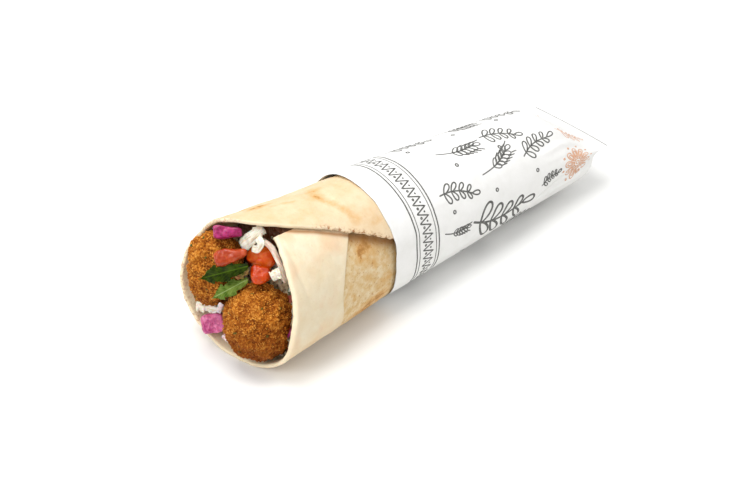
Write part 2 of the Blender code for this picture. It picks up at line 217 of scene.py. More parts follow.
def straight_through(table):
    """As the CAD source reads the roll's outside: straight between the table's places."""
    def value(place):
        for (low, first), (high, second) in zip(table, table[1:]):
            if place <= high:
                return mix(first, second, max(0.0, (place - low) / (high - low)))
        return table[-1][1]

    return value


half_width_at = straight_through(HALF_WIDTHS)
half_height_at = straight_through(HALF_HEIGHTS)
rim_setback = curve_through(RIM_SETBACK)
cuff_edge = curve_through(CUFF_EDGE)
flap_edge = curve_through(FLAP_EDGE)


def spot(station, across, height):
    """A point of the frame, from its place on the roll."""
    return Vector((station - ORIGIN_STATION, across - ORIGIN_ACROSS, height))


def lift(station):
    """How far the bread is lifted off the table by the paper under it."""
    return (PAPER_THICKNESS + CLEARANCE) * ease((station - PAPER_UNDER_START) / PAPER_UNDER_RUN)


def unevenness(turn, station):
    """The depth of the hand's dents: none underneath, where the roll lies on the table."""
    place = Vector((station, FRONT_RADIUS * math.sin(turn), FRONT_RADIUS * math.cos(turn))) / UNEVEN_PATCH
    bare = 1.0 - ease((station - UNEVEN_END) / PAPER_UNDER_RUN)
    off_table = ease((math.cos(turn) + 0.88) / 0.5)
    return UNEVENNESS * noise.noise(place) * bare * off_table


def roll_point(angle, station, inset=0.0):
    """The point at this angle and station, inset from the roll's outside and flat underneath."""
    turn = math.radians(angle)
    depth = inset + unevenness(turn, station)
    half_width, half_height = half_width_at(station), half_height_at(station)
    ground = lift(station)
    across = -(half_width - depth) * math.sin(turn)
    height = ground + half_height - FLAT_DEPTH + (half_height - depth) * math.cos(turn)
    return spot(station, across, max(height, ground + inset))


def layer_inset(angle):
    """How far the sheet lies inside the roll's outside: a layer deep, where the flap covers it."""
    low, high = LAYER_FADE
    return (BREAD_THICKNESS + CLEARANCE) * (1.0 - ease((angle - low) / (high - low)))


def cuff_share(angle):
    """How much of a cuff there is at this angle, from 1 down to 0."""
    low, high = CUFF_FADE
    return 1.0 - ease((angle - low) / (high - low))


def sheet_mesh(name, columns, rows, place, values=()):
    """A closed sheet whose front and back share their border. place(column, row, side) gives a
    vertex's point, its (u, v) on the flat sheet, and its number for each attribute in values."""
    found, points, flats, numbers = {}, [], [], []
    for side in (1, -1):
        for column in range(columns + 1):
            for row in range(rows + 1):
                border = column in (0, columns) or row in (0, rows)
                if border and side < 0:
                    found[column, row, -1] = found[column, row, 1]
                    continue
                found[column, row, side] = len(points)
                point, flat, given = place(column, row, 0 if border else side)
                points.append(point)
                flats.append(flat)
                numbers.append(given)
    faces = []
    for side in (1, -1):
        for column in range(columns):
            for row in range(rows):
                corners = [(column, row), (column + 1, row), (column + 1, row + 1), (column, row + 1)]
                faces.append([found[c, r, side] for c, r in corners][::side])
    mesh = bpy.data.meshes.new(name)
    mesh.from_pydata(points, [], faces)
    for number, value in enumerate(values):
        layer = mesh.attributes.new(value, "FLOAT", "POINT")
        layer.data.foreach_set("value", [given[number] for given in numbers])
    layer = mesh.uv_layers.new(name="flat_sheet")
    layer.uv.foreach_set("vector", [part for loop in mesh.loops for part in flats[loop.vertex_index]])
    mesh.shade_smooth()
    return mesh


def add_piece(name, mesh, finish, slot, *nodes):
    """Put a finished mesh in the scene, riding on the wrap, in place of its CAD nodes."""
    mesh.materials.clear()
    mesh.materials.append(finish)
    piece = bpy.data.objects.new(name, mesh)
    bpy.context.scene.collection.objects.link(piece)
    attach(piece, "root")
    if nodes:
        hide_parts(*nodes)
    return piece


# Rows run back from the rim: round the rim, along the cuff, over its edge, then the bare sheet
BREAD_ROWS = [("rim", step / 7) for step in range(8)]
BREAD_ROWS += [("cuff", step / 60) for step in range(1, 61)]
BREAD_ROWS += [("edge", step) for step in range(7)]
BREAD_ROWS += [("bare", step / 48) for step in range(1, 49)]
BREAD_ROWS += [("hidden", step / 20) for step in range(1, 21)]
BREAD_ROWS += [("end", step / 3) for step in range(1, 4)]
BREAD_COLUMNS = [("start", step / 5) for step in range(6)]
BREAD_COLUMNS += [("sheet", step / 285) for step in range(1, 285)]
BREAD_COLUMNS += [("flap", step / 6) for step in range(7)]
# The cuff's cut edge in profile, as (how far behind the edge, share of the step down): a round nose
# with a dark undercut below it
CUFF_NOSE = [(-0.0007, 0.00), (-0.0002, 0.06), (0.00005, 0.30), (0.0, 0.62), (-0.0003, 0.90), (0.0001, 1.02),
             (0.0007, 1.00)]
CUFF_NOSE_REACH = 0.0007
# The cuff's own rows end this far before its edge
CUFF_ROWS_END = 0.0012
VISIBLE_END = 0.079
# The relief of the bread's face fades out as it runs into the paper
RELIEF_END = 0.070
RELIEF_FADE = 0.012
RAGGED_EDGE = 0.00035
# The flap's edge is a little torn, and it is crimped too from this station on
CRIMP_START = 0.033
CRIMP_RUN = 0.009
CRIMP_WIDTH = 0.0017
TEAR_DEPTH = 0.0006
TEAR_SIZE = 0.0045
CRIMP_DEPTH = 0.0011
CRIMP_SIZE = 0.0022
CRIMP_LUMP = 0.00045
CRIMP_LUMP_SIZE = 0.0013
BLISTER_HEIGHT = 0.00022
BLISTER_SIZE = 0.0062
DIMPLE_HEIGHT = 0.00010
DIMPLE_SIZE = 0.0021
# A crease pressed into the cuff, as (angle, station), and the angles between which it shows
CREASE = [(23.8, 0.0167), (48.0, 0.0150), (74.0, 0.0155), (95.0, 0.0185), (113.0, 0.0234)]
CREASE_ANGLES = (15.0, 125.0)
CREASE_FADES = (12.0, 18.0)
CREASE_DEPTH = 0.00045
CREASE_WIDTH = 0.0016
# Painted shadow: just below the flap's edge the sheet beneath is painted brown as the flap's shadow, and more
# so behind the cuff
STEAMED_OFFSET = 0.0014
STEAMED_WIDTH = 0.0015
STEAMED_WIDER_BEHIND = 0.0026
STEAMED_LAST_ANGLE = 120.0
STEAMED_START = 0.012
# Cut and folded edges are paler: the flap's as far back as this station, and the rim's all round
PALE_EDGE = 0.0016
PALE_EDGE_END = 0.050
PALE_RIM = 0.0030
# Crumbs of the crust are rubbed off on the rim's far side, from this angle on
RUBBED_SHARE = 0.55
RUBBED_REACH = 0.0060
RUBBED_ANGLE = 195.0
RUBBED_FADE = 25.0
# The tone of the sheet behind the cuff fades out on its way underneath
BEHIND_END = 150.0
BEHIND_FADE = 30.0
INNER_FACE_ON_CUFF = 0.6
INNER_FACE_PALE = 2.0
BREAD_MARKS = ("on_cuff", "behind", "toast", "crimp", "pale", "tucked")
# The flat sheet's own map has this many units to a metre
FLAT_MAP_SCALE = 10
# Toasted places as (angle, station, length, width, strength): a broken streak down the flap, another
# along its front, and spots on the bread behind the cuff and along its underside
TOASTED = [
    (345.0, 0.0566, 0.0050, 0.0040, 0.58), (350.0, 0.0530, 0.0035, 0.0050, 0.50),
    (358.0, 0.0512, 0.0050, 0.0030, 0.62), (365.0, 0.0528, 0.0034, 0.0030, 0.55),
    (372.0, 0.0554, 0.0034, 0.0030, 0.62), (379.8, 0.0567, 0.0030, 0.0028, 0.60),
    (387.7, 0.0581, 0.0030, 0.0034, 0.60), (395.0, 0.0600, 0.0040, 0.0030, 0.55),
    (340.0, 0.0249, 0.0070, 0.0026, 1.05), (333.0, 0.0215, 0.0040, 0.0040, 0.50),
    (326.0, 0.0195, 0.0065, 0.0024, 0.65), (331.0, 0.0110, 0.0050, 0.0020, 0.55),
    (350.0, 0.0362, 0.0030, 0.0022, 0.55), (352.0, 0.0400, 0.0026, 0.0016, 0.45),
    (348.0, 0.0300, 0.0036, 0.0014, 0.40), (352.0, 0.0680, 0.0060, 0.0060, 0.35),
    (378.0, 0.0690, 0.0050, 0.0040, 0.30), (402.0, 0.0700, 0.0060, 0.0026, 0.55),
    (300.0, 0.0350, 0.0160, 0.0090, 0.70), (265.0, 0.0500, 0.0130, 0.0100, 0.60),
    (230.0, 0.0250, 0.0150, 0.0080, 0.60), (320.0, 0.0620, 0.0080, 0.0060, 0.45),
    (285.0, 0.0150, 0.0100, 0.0060, 0.50), (57.9, 0.0585, 0.0050, 0.0046, 1.30),
    (66.0, 0.0545, 0.0044, 0.0046, 0.75), (76.0, 0.0620, 0.0050, 0.0050, 0.55),
    (65.1, 0.0680, 0.0050, 0.0034, 0.50), (101.6, 0.0690, 0.0060, 0.0040, 0.75),
    (90.0, 0.0560, 0.0030, 0.0040, 0.45), (99.0, 0.0455, 0.0030, 0.0040, 0.55),
    (116.8, 0.0606, 0.0080, 0.0036, 0.95), (119.0, 0.0694, 0.0050, 0.0034, 0.85),
    (126.0, 0.0540, 0.0060, 0.0040, 0.80), (131.0, 0.0620, 0.0110, 0.0050, 0.75),
    (122.0, 0.0460, 0.0050, 0.0040, 0.55), (84.0, 0.0700, 0.0050, 0.0040, 0.45),
]


def grain(size, *place):
    """Soft noise from -1 to 1 whose patches are about this size."""
    return noise.noise(Vector(place) / size)


def arc(angle):
    """The distance round a roll of middling size."""
    return math.radians(angle) * MIDDLE_RADIUS


def bread_station(row, angle, half_wall):
    """How far back a row lies at this angle, where the wall ends in a half round of its own thickness."""
    zone, share = BREAD_ROWS[row]
    ragged = RAGGED_EDGE * (grain(0.004, arc(angle), 0.0, 3.0) + 0.5 * grain(0.0015, arc(angle), 0.0, 7.0))
    front = rim_setback(angle) + ragged
    edge = cuff_edge(angle) + ragged * 0.8 + 0.0004 * grain(0.011, arc(angle), 2.0, 0.0)
    if zone == "rim":
        return front + half_wall * (1.0 - math.cos(share * math.pi / 2))
    if zone == "cuff":
        return mix(front + half_wall, edge - CUFF_ROWS_END, share)
    if zone == "edge":
        # Round the far side there's no cuff, and these rows lie evenly on the sheet
        even = 2 * CUFF_NOSE_REACH * (share / 6 - 0.5)
        return edge + mix(even, CUFF_NOSE[int(share)][0], ease(cuff_share(angle) * 3))
    if zone == "bare":
        return mix(edge + CUFF_NOSE_REACH, VISIBLE_END, share)
    if zone == "hidden":
        return mix(VISIBLE_END, BREAD_END - BREAD_THICKNESS / 2, share)
    return BREAD_END - BREAD_THICKNESS / 2 * (1.0 - math.sin(share * math.pi / 2))


def flap_angle(row):
    """Where a row meets the flap's edge, which is crimped and a little torn further back."""
    angle = FLAP_EDGE[0][1]
    for _ in range(8):
        station = bread_station(row, angle, BREAD_THICKNESS / 2)
        angle = flap_edge(station)
    crimped = ease((station - CRIMP_START) / CRIMP_RUN) * (station < VISIBLE_END)
    tear = TEAR_DEPTH * grain(TEAR_SIZE, station, 0.0, 0.0)
    tear += crimped * CRIMP_DEPTH * grain(CRIMP_SIZE, station, 5.0, 0.0)
    return angle + math.degrees(tear / FRONT_RADIUS)


FLAP_ANGLES = [flap_angle(row) for row in range(len(BREAD_ROWS))]
crease_station = curve_through(CREASE)


def bread_marks(angle, station, side, dropped, to_flap, crimp):
    """The numbers for BREAD_MARKS. dropped is how far the cuff's edge has stepped down, to_flap how far
    the flap's edge is. "pale" goes on past 1 on the inner face, and "crimp" holds the rubbed crumbs too."""
    across = arc(angle)
    toast = sum(
        strength * math.exp(-((station - at) / long) ** 2 - ((across - arc(turn)) / wide) ** 2)
        for turn, at, long, wide, strength in TOASTED)
    behind_rim = station - rim_setback(angle)
    rubbed = RUBBED_SHARE * (1.0 - min(1.0, behind_rim / RUBBED_REACH)) * ease(
        (angle - RUBBED_ANGLE) / RUBBED_FADE)
    near_edge = 1.0 - min(1.0, to_flap / PALE_EDGE) if station < PALE_EDGE_END else 0.0
    near_rim = 1.0 - min(1.0, behind_rim / PALE_RIM)
    on_cuff, pale = INNER_FACE_ON_CUFF, INNER_FACE_PALE
    if side >= 0:
        on_cuff = (1.0 - dropped) * cuff_share(angle)
        pale = max(near_edge, near_rim, 0.0)
    behind = tucked = 0.0
    if side > 0:
        behind = dropped * ease((BEHIND_END - angle) / BEHIND_FADE)
        # Painted shadow of the flap's edge on the sheet beneath it
        if angle < STEAMED_LAST_ANGLE and station > STEAMED_START:
            below = math.radians(angle + 360.0 - flap_edge(station)) * FRONT_RADIUS - STEAMED_OFFSET
            tucked = math.exp(-(below / (STEAMED_WIDTH + STEAMED_WIDER_BEHIND * dropped)) ** 2)
    return on_cuff, behind, min(1.0, toast), max(crimp, rubbed), pale, tucked


def bread_crease(angle, station):
    """The depth of the crease in the cuff."""
    first, last = CREASE_ANGLES
    if not first < angle < last:
        return 0.0
    away = abs(station - crease_station(angle)) / CREASE_WIDTH
    fade = ease((angle - first) / CREASE_FADES[0]) * ease((last - angle) / CREASE_FADES[1])
    return CREASE_DEPTH * math.exp(-away * away) * fade


def bread_place(column, row, side):
    """A point of the sheet. Its four edges are rounded, by taper across the sheet and rounding along it."""
    part, share = BREAD_COLUMNS[column]
    zone, row_share = BREAD_ROWS[row]
    last = FLAP_ANGLES[row]
    round_off = math.degrees(BREAD_THICKNESS / 2 / FRONT_RADIUS)
    first = INNER_EDGE_ANGLE + math.degrees(RAGGED_EDGE / FRONT_RADIUS) * grain(0.004, row * 0.001, 9.0, 0.0)
    taper = 1.0
    if part == "start":
        angle = first + round_off * (1.0 - math.cos(share * math.pi / 2))
        taper = math.sin(share * math.pi / 2)
    elif part == "sheet":
        angle = mix(first + round_off, last - round_off, share)
    else:
        angle = last - round_off * (1.0 - math.sin(share * math.pi / 2))
        taper = math.cos(share * math.pi / 2) if share < 1.0 else 0.0
    cuff = CUFF_THICKNESS * cuff_share(angle)
    half_wall = (BREAD_THICKNESS + (cuff if zone in ("rim", "cuff") else 0.0)) / 2
    station = bread_station(row, angle, half_wall)
    dropped = 0.0 if zone in ("rim", "cuff") else 1.0
    rounding = 1.0
    if zone == "rim":
        rounding = math.sin(row_share * math.pi / 2)
    elif zone == "edge":
        dropped = CUFF_NOSE[int(row_share)][1]
        if side < 0:
            station = cuff_edge(angle) + 0.0002 * (row_share - 3)
    elif zone == "end":
        rounding = math.cos(row_share * math.pi / 2) if row_share < 1.0 else 0.0
    outer = layer_inset(angle) + cuff * dropped
    inner = layer_inset(angle) + cuff + BREAD_THICKNESS
    middle = (outer + inner) / 2
    inset = middle + (inner - middle if side < 0 else outer - middle if side > 0 else 0.0) * rounding * taper
    across = arc(angle)
    seen = 1.0 - ease((station - RELIEF_END) / RELIEF_FADE)
    to_flap = math.radians(last - angle) * FRONT_RADIUS
    crimp = math.exp(-(to_flap / CRIMP_WIDTH) ** 2) * ease((station - CRIMP_START) / CRIMP_RUN) * seen
    if side > 0:
        blister = seen * (BLISTER_HEIGHT * grain(BLISTER_SIZE, across, station, 1.0)
                          + DIMPLE_HEIGHT * grain(DIMPLE_SIZE, across, station, 4.0))
        lumps = crimp * CRIMP_LUMP * grain(CRIMP_LUMP_SIZE, across, station, 8.0)
        inset += (blister + bread_crease(angle, station) + lumps) * rounding * taper
    point = roll_point(angle, station, inset)
    point.z = max(point.z, 0.0)
    flat = (across * FLAT_MAP_SCALE, station * FLAT_MAP_SCALE)
    return point, flat, bread_marks(angle, station, side, dropped, to_flap, crimp)


def add_bread_finish():
    """Soft baked wheat dough: matt and pale, tan where it touched the plate, with brown specks."""
    finish, tree, shader = new_material(
        "baked wheat flatbread", Roughness=0.72, Subsurface_Weight=0.12, Subsurface_Scale=0.0015,
        Subsurface_Radius=(1.0, 0.55, 0.30), Specular_IOR_Level=0.32)
    place = add_node(tree, "ShaderNodeTexCoord").outputs["Object"]
    share = {
        name: add_node(tree, "ShaderNodeAttribute", attribute_name=name).outputs["Fac"]
        for name in BREAD_MARKS}
    # Flour and dough tone changes over patches of about 12 mm, specks are 1 to 2 mm, grain 0.5 mm
    patch = add_node(tree, "ShaderNodeTexNoise", {
        "Vector": place, "Scale": 1000 / 12, "Detail": 4.0, "Roughness": 0.6})
    mottle = add_node(tree, "ShaderNodeTexNoise", {
        "Vector": place, "Scale": 1000 / 3.5, "Detail": 5.0, "Roughness": 0.65})
    speck = add_node(tree, "ShaderNodeTexNoise", {
        "Vector": place, "Scale": 1000 / 1.3, "Detail": 3.0, "Roughness": 0.6})
    crust = add_node(tree, "ShaderNodeMix", {
        0: add_node(tree, "ShaderNodeMapRange", {
            "Value": patch.outputs["Fac"], "From Min": 0.35, "From Max": 0.65}).outputs[0],
        6: linear("#E1CBA9"), 7: linear("#DABC92")}, data_type="RGBA").outputs[2]
    back = add_node(tree, "ShaderNodeMix", {
        0: add_node(tree, "ShaderNodeMapRange", {
            "Value": mottle.outputs["Fac"], "From Min": 0.35, "From Max": 0.65}).outputs[0],
        6: linear("#DFCCA6"), 7: linear("#D0AC74")}, data_type="RGBA").outputs[2]
    tone = add_node(tree, "ShaderNodeMix", {
        0: share["behind"], 6: crust, 7: back}, data_type="RGBA").outputs[2]
    # Toasting has a broken outline: the soft spot is cut up by the mottle
    broken = add_node(tree, "ShaderNodeMath", {
        0: share["toast"], 1: mottle.outputs["Fac"]}, operation="MULTIPLY").outputs[0]
    toast = add_node(tree, "ShaderNodeMapRange", {
        "Value": broken, "From Min": 0.10, "From Max": 0.52}).outputs[0]
    tone = add_node(tree, "ShaderNodeMix", {
        0: toast, 6: tone, 7: linear("#D0A05E")}, data_type="RGBA").outputs[2]
    scorch = add_node(tree, "ShaderNodeMapRange", {
        "Value": broken, "From Min": 0.42, "From Max": 0.62, "To Max": 0.8}).outputs[0]
    tone = add_node(tree, "ShaderNodeMix", {
        0: scorch, 6: tone, 7: linear("#A06C34")}, data_type="RGBA").outputs[2]
    cuff = add_node(tree, "ShaderNodeMix", {
        0: add_node(tree, "ShaderNodeMapRange", {
            "Value": patch.outputs["Fac"], "From Min": 0.30, "From Max": 0.70}).outputs[0],
        6: linear("#E6DAC0"), 7: linear("#E0CDAA")}, data_type="RGBA").outputs[2]
    # The cuff has a few faint peach clouds of about 14 mm
    cloud = add_node(tree, "ShaderNodeTexNoise", {
        "Vector": place, "Scale": 1000 / 14, "Detail": 2.0, "Roughness": 0.45})
    cuff = add_node(tree, "ShaderNodeMix", {
        0: add_node(tree, "ShaderNodeMapRange", {
            "Value": cloud.outputs["Fac"], "From Min": 0.46, "From Max": 0.70, "To Max": 0.80}).outputs[0],
        6: cuff, 7: linear("#E2C19C")}, data_type="RGBA").outputs[2]
    tone = add_node(tree, "ShaderNodeMix", {
        0: share["on_cuff"], 6: tone, 7: cuff}, data_type="RGBA").outputs[2]
    tone = add_node(tree, "ShaderNodeMix", {
        0: add_node(tree, "ShaderNodeMapRange", {"Value": share["pale"], "To Max": 0.75}).outputs[0],
        6: tone, 7: linear("#E7D9BC")}, data_type="RGBA").outputs[2]
    # The sheet's inner face, where "pale" passes 1, stayed off the plate and is creamier still
    tone = add_node(tree, "ShaderNodeMix", {
        0: add_node(tree, "ShaderNodeMapRange", {
            "Value": share["pale"], "From Min": 1.0, "From Max": 2.0}).outputs[0],
        6: tone, 7: linear("#E9DAB8")}, data_type="RGBA").outputs[2]
    # Brown specks: many behind the cuff and along the crimped flap edge, hardly any on the cuff
    dots = add_node(tree, "ShaderNodeMapRange", {
        "Value": speck.outputs["Fac"], "From Min": 0.60, "From Max": 0.68}).outputs[0]
    amount = add_node(tree, "ShaderNodeMath", {
        0: share["behind"], 1: 0.55, 2: 0.10}, operation="MULTIPLY_ADD").outputs[0]
    speckled = add_node(tree, "ShaderNodeMath", {0: dots, 1: amount}, operation="MULTIPLY").outputs[0]
    tone = add_node(tree, "ShaderNodeMix", {
        0: speckled, 6: tone, 7: linear("#A9703A")}, data_type="RGBA").outputs[2]
    flecks = add_node(tree, "ShaderNodeMath", {
        0: add_node(tree, "ShaderNodeMapRange", {
            "Value": speck.outputs["Fac"], "From Min": 0.50, "From Max": 0.60}).outputs[0],
        1: share["crimp"]}, operation="MULTIPLY").outputs[0]
    tone = add_node(tree, "ShaderNodeMix", {
        0: flecks, 6: tone, 7: linear("#A9734A")}, data_type="RGBA").outputs[2]
    # Painted shadow: the sheet just below the flap's edge is painted brown as the flap's shadow
    steamed = add_node(tree, "ShaderNodeMath", {0: share["tucked"], 1: 0.85}, operation="MULTIPLY").outputs[0]
    tone = add_node(tree, "ShaderNodeMix", {
        0: steamed, 6: tone, 7: linear("#96622C")}, data_type="RGBA").outputs[2]
    tree.links.new(tone, shader.inputs["Base Color"])
    fine = add_node(tree, "ShaderNodeTexNoise", {
        "Vector": place, "Scale": 1000 / 0.6, "Detail": 3.0, "Roughness": 0.6})
    bump = add_node(tree, "ShaderNodeBump", {
        "Height": mottle.outputs["Fac"], "Strength": 0.35, "Distance": 0.0008})
    bump = add_node(tree, "ShaderNodeBump", {
        "Height": fine.outputs["Fac"], "Strength": 0.25, "Distance": 0.0003, "Normal": bump.outputs[0]})
    tree.links.new(bump.outputs[0], shader.inputs["Normal"])
    return finish


bread_mesh = sheet_mesh(
    "flatbread_sheet", len(BREAD_COLUMNS) - 1, len(BREAD_ROWS) - 1, bread_place, BREAD_MARKS)
add_piece("flatbread_sheet", bread_mesh, add_bread_finish(), "flatbread", "flatbread")

# Salad core
#
# Chopped cabbage, tomato and herbs packed down the roll behind the pieces at its open end. One
# lumpy body fills the roll, and loose shreds stand off its front.

CORE_CLEARANCE = 0.0006
CORE_FRONT_LOW = 0.0085
CORE_FRONT_HIGH = 0.0264
# The heights between which its front runs back
CORE_SLOPE = (0.022, 0.046)
CORE_END = 0.184
CORE_LUMPS = 0.0016
CORE_LUMP_SIZE = 0.006
CORE_SHREDS = 0.0009
CORE_SHRED_SIZE = 0.0042
# From this angle on, the core steps in under the sheet's inner layer and cuff
CORE_STEP_ANGLE = -10.0
CORE_STEP_RUN = 12.0
# Loose shreds grow on this share of the front, but few of them up under the flap
SHREDS_SHARE = 0.78
SHREDS_FADE_START = 0.038
SHREDS_FADE = 0.012
SHREDS_LEFT = 0.03
CORE_STEPS_ROUND = 150
CORE_FRONT_RINGS = 60
CORE_BODY_RINGS = 24
FULL_TURN = 6.283


def core_inset(angle):
    """How far the core lies inside the roll's outside: under one layer of bread, or under two."""
    past_top = (angle + 180.0) % 360.0 - 180.0
    inner = layer_inset(past_top) + CUFF_THICKNESS * cuff_share(past_top)
    under_inner = ease((past_top - CORE_STEP_ANGLE) / CORE_STEP_RUN)
    return BREAD_THICKNESS + CORE_CLEARANCE + inner * under_inner


def core_front(across, height):
    """The station of the core's front: it slopes back, with lumps and shreds in it."""
    low, high = CORE_SLOPE
    station = mix(CORE_FRONT_LOW, CORE_FRONT_HIGH, ease((height - low) / (high - low)))
    place = Vector((station, across, height))
    shreds = CORE_SHREDS * noise.ridged_multi_fractal(place / CORE_SHRED_SIZE, 0.9, 2.1, 3, 0.9, 2.0)
    return station + CORE_LUMPS * noise.fractal(place / CORE_LUMP_SIZE, 0.7, 2.0, 3) - shreds


def make_core_mesh():
    """Rings from the middle of the front out to the bread, then back inside it, closed at the end."""
    front_middle = half_height_at(0.0)
    points, faces = [spot(core_front(0.0, front_middle), 0.0, front_middle)], []
    rings = []
    for ring in range(1, CORE_FRONT_RINGS + CORE_BODY_RINGS + 1):
        rings.append(len(points))
        for step in range(CORE_STEPS_ROUND):
            angle = 360.0 * step / CORE_STEPS_ROUND
            share = min(1.0, ring / CORE_FRONT_RINGS)
            rim = roll_point(angle, CORE_FRONT_LOW, core_inset(angle))
            flat = spot(0.0, 0.0, front_middle).lerp(rim, share)
            station = core_front(flat.y, flat.z)
            if ring > CORE_FRONT_RINGS:
                station = mix(station, CORE_END, (ring - CORE_FRONT_RINGS) / CORE_BODY_RINGS)
            rim = roll_point(angle, station, core_inset(angle))
            points.append(spot(station, 0.0, half_height_at(station)).lerp(rim, share))
    points.append(spot(CORE_END, 0.0, half_height_at(CORE_END)))
    for step in range(CORE_STEPS_ROUND):
        after = (step + 1) % CORE_STEPS_ROUND
        faces.append((0, rings[0] + after, rings[0] + step))
        for low, high in zip(rings, rings[1:]):
            faces.append((low + step, low + after, high + after, high + step))
        faces.append((len(points) - 1, rings[-1] + step, rings[-1] + after))
    mesh = bpy.data.meshes.new("salad_core_body")
    mesh.from_pydata(points, [], faces)
    mesh.shade_smooth()
    front = mesh.attributes.new("front", "FLOAT", "POINT")
    reach = 1 + CORE_STEPS_ROUND * CORE_FRONT_RINGS * SHREDS_SHARE
    front.data.foreach_set("value", [
        (number < reach) * mix(1.0, SHREDS_LEFT, ease((point.z - SHREDS_FADE_START) / SHREDS_FADE))
        for number, point in enumerate(points)])
    return mesh


def add_salad_finish():
    """Wet chopped salad: pale cabbage, with bits of red, magenta and green, and painted shade dark between
    them and brown under the flap.
    """
    finish, tree, shader = new_material(
        "wet chopped salad", Roughness=0.35, Subsurface_Weight=0.10, Subsurface_Scale=0.002)
    place = add_node(tree, "ShaderNodeTexCoord").outputs["Object"]
    # Chopped to bits of about 4 mm
    bits = add_node(tree, "ShaderNodeTexVoronoi", {"Vector": place, "Scale": 1000 / 4.0, "Randomness": 1.0})
    pick = add_node(tree, "ShaderNodeSeparateColor", {0: bits.outputs["Color"]})
    tone = add_node(tree, "ShaderNodeValToRGB", {"Fac": pick.outputs[0]}, stops=[
        (0.0, linear("#E9DCC4")), (0.40, linear("#D6C49C")), (0.60, linear("#8C9450")),
        (0.68, linear("#4A6420")), (0.76, linear("#B8451E")), (0.86, linear("#A83274")),
        (0.92, linear("#E8D9BE"))])
    tone.color_ramp.interpolation = "CONSTANT"
    # Painted shade: dark patches stand for the shade in the gaps between the bits
    deep = add_node(tree, "ShaderNodeTexNoise", {"Vector": place, "Scale": 1000 / 2.0, "Detail": 3.0})
    shade = add_node(tree, "ShaderNodeMapRange", {
        "Value": deep.outputs["Fac"], "From Min": 0.36, "From Max": 0.55}).outputs[0]
    tone = add_node(tree, "ShaderNodeMix", {
        0: shade, 6: linear("#43301A"), 7: tone.outputs[0]}, data_type="RGBA").outputs[2]
    # High up, under the flap, the salad is painted brown as the flap's shade on it
    height = add_node(tree, "ShaderNodeSeparateXYZ", {0: place}).outputs[2]
    high = add_node(tree, "ShaderNodeMapRange", {
        "Value": height, "From Min": 0.038, "From Max": 0.051, "To Max": 0.92}).outputs[0]
    tone = add_node(tree, "ShaderNodeMix", {
        0: high, 6: tone, 7: linear("#5C2E0C")}, data_type="RGBA").outputs[2]
    tree.links.new(tone, shader.inputs["Base Color"])
    bump = add_node(tree, "ShaderNodeBump", {
        "Height": bits.outputs["Distance"], "Strength": 0.6, "Distance": 0.001})
    tree.links.new(bump.outputs[0], shader.inputs["Normal"])
    return finish


core = add_piece("salad_core_body", make_core_mesh(), add_salad_finish(), "salad", "salad_core")


def new_tree(name, **sizes):
    """A geometry tree with these named inputs after its geometry, and what its inputs give."""
    tree = bpy.data.node_groups.new(name, "GeometryNodeTree")
    tree.interface.new_socket(name="Geometry", in_out="INPUT", socket_type="NodeSocketGeometry")
    for size, kind in sizes.items():
        tree.interface.new_socket(
            name=size.replace("_", " "), in_out="INPUT", socket_type="NodeSocket" + kind)
    tree.interface.new_socket(name="Geometry", in_out="OUTPUT", socket_type="NodeSocketGeometry")
    return tree, add_node(tree, "NodeGroupInput").outputs


def scatter(tree, given, points, body, turn, size):
    """End a tree with the body standing on each point, made real and in the finish given."""
    placed = add_node(tree, "GeometryNodeInstanceOnPoints", {
        "Points": points, "Instance": body, "Rotation": turn, "Scale": size})
    solid = add_node(tree, "GeometryNodeRealizeInstances", {0: placed.outputs[0]})
    painted = add_node(tree, "GeometryNodeSetMaterial", {
        "Geometry": solid.outputs[0], "Material": given["Finish"]})
    add_node(tree, "NodeGroupOutput", {"Geometry": painted.outputs[0]})


def grow_on(name, base, tree, sizes, finish, slot):
    """Run a node tree on a copy of a piece, and keep what it makes as a plain mesh."""
    values = dict(sizes, Finish=finish)
    host = bpy.data.objects.new(name + "_host", base.data.copy())
    bpy.context.scene.collection.objects.link(host)
    grower = host.modifiers.new("grow", "NODES")
    grower.node_group = tree
    for item in tree.interface.items_tree:
        if item.in_out == "INPUT" and item.name in values:
            grower[item.identifier] = values[item.name]
    bpy.context.view_layer.update()
    mesh = bpy.data.meshes.new_from_object(host.evaluated_get(bpy.context.evaluated_depsgraph_get()))
    mesh.name = name
    host.modifiers.clear()
    bpy.data.objects.remove(host)
    return add_piece(name, mesh, finish, slot)


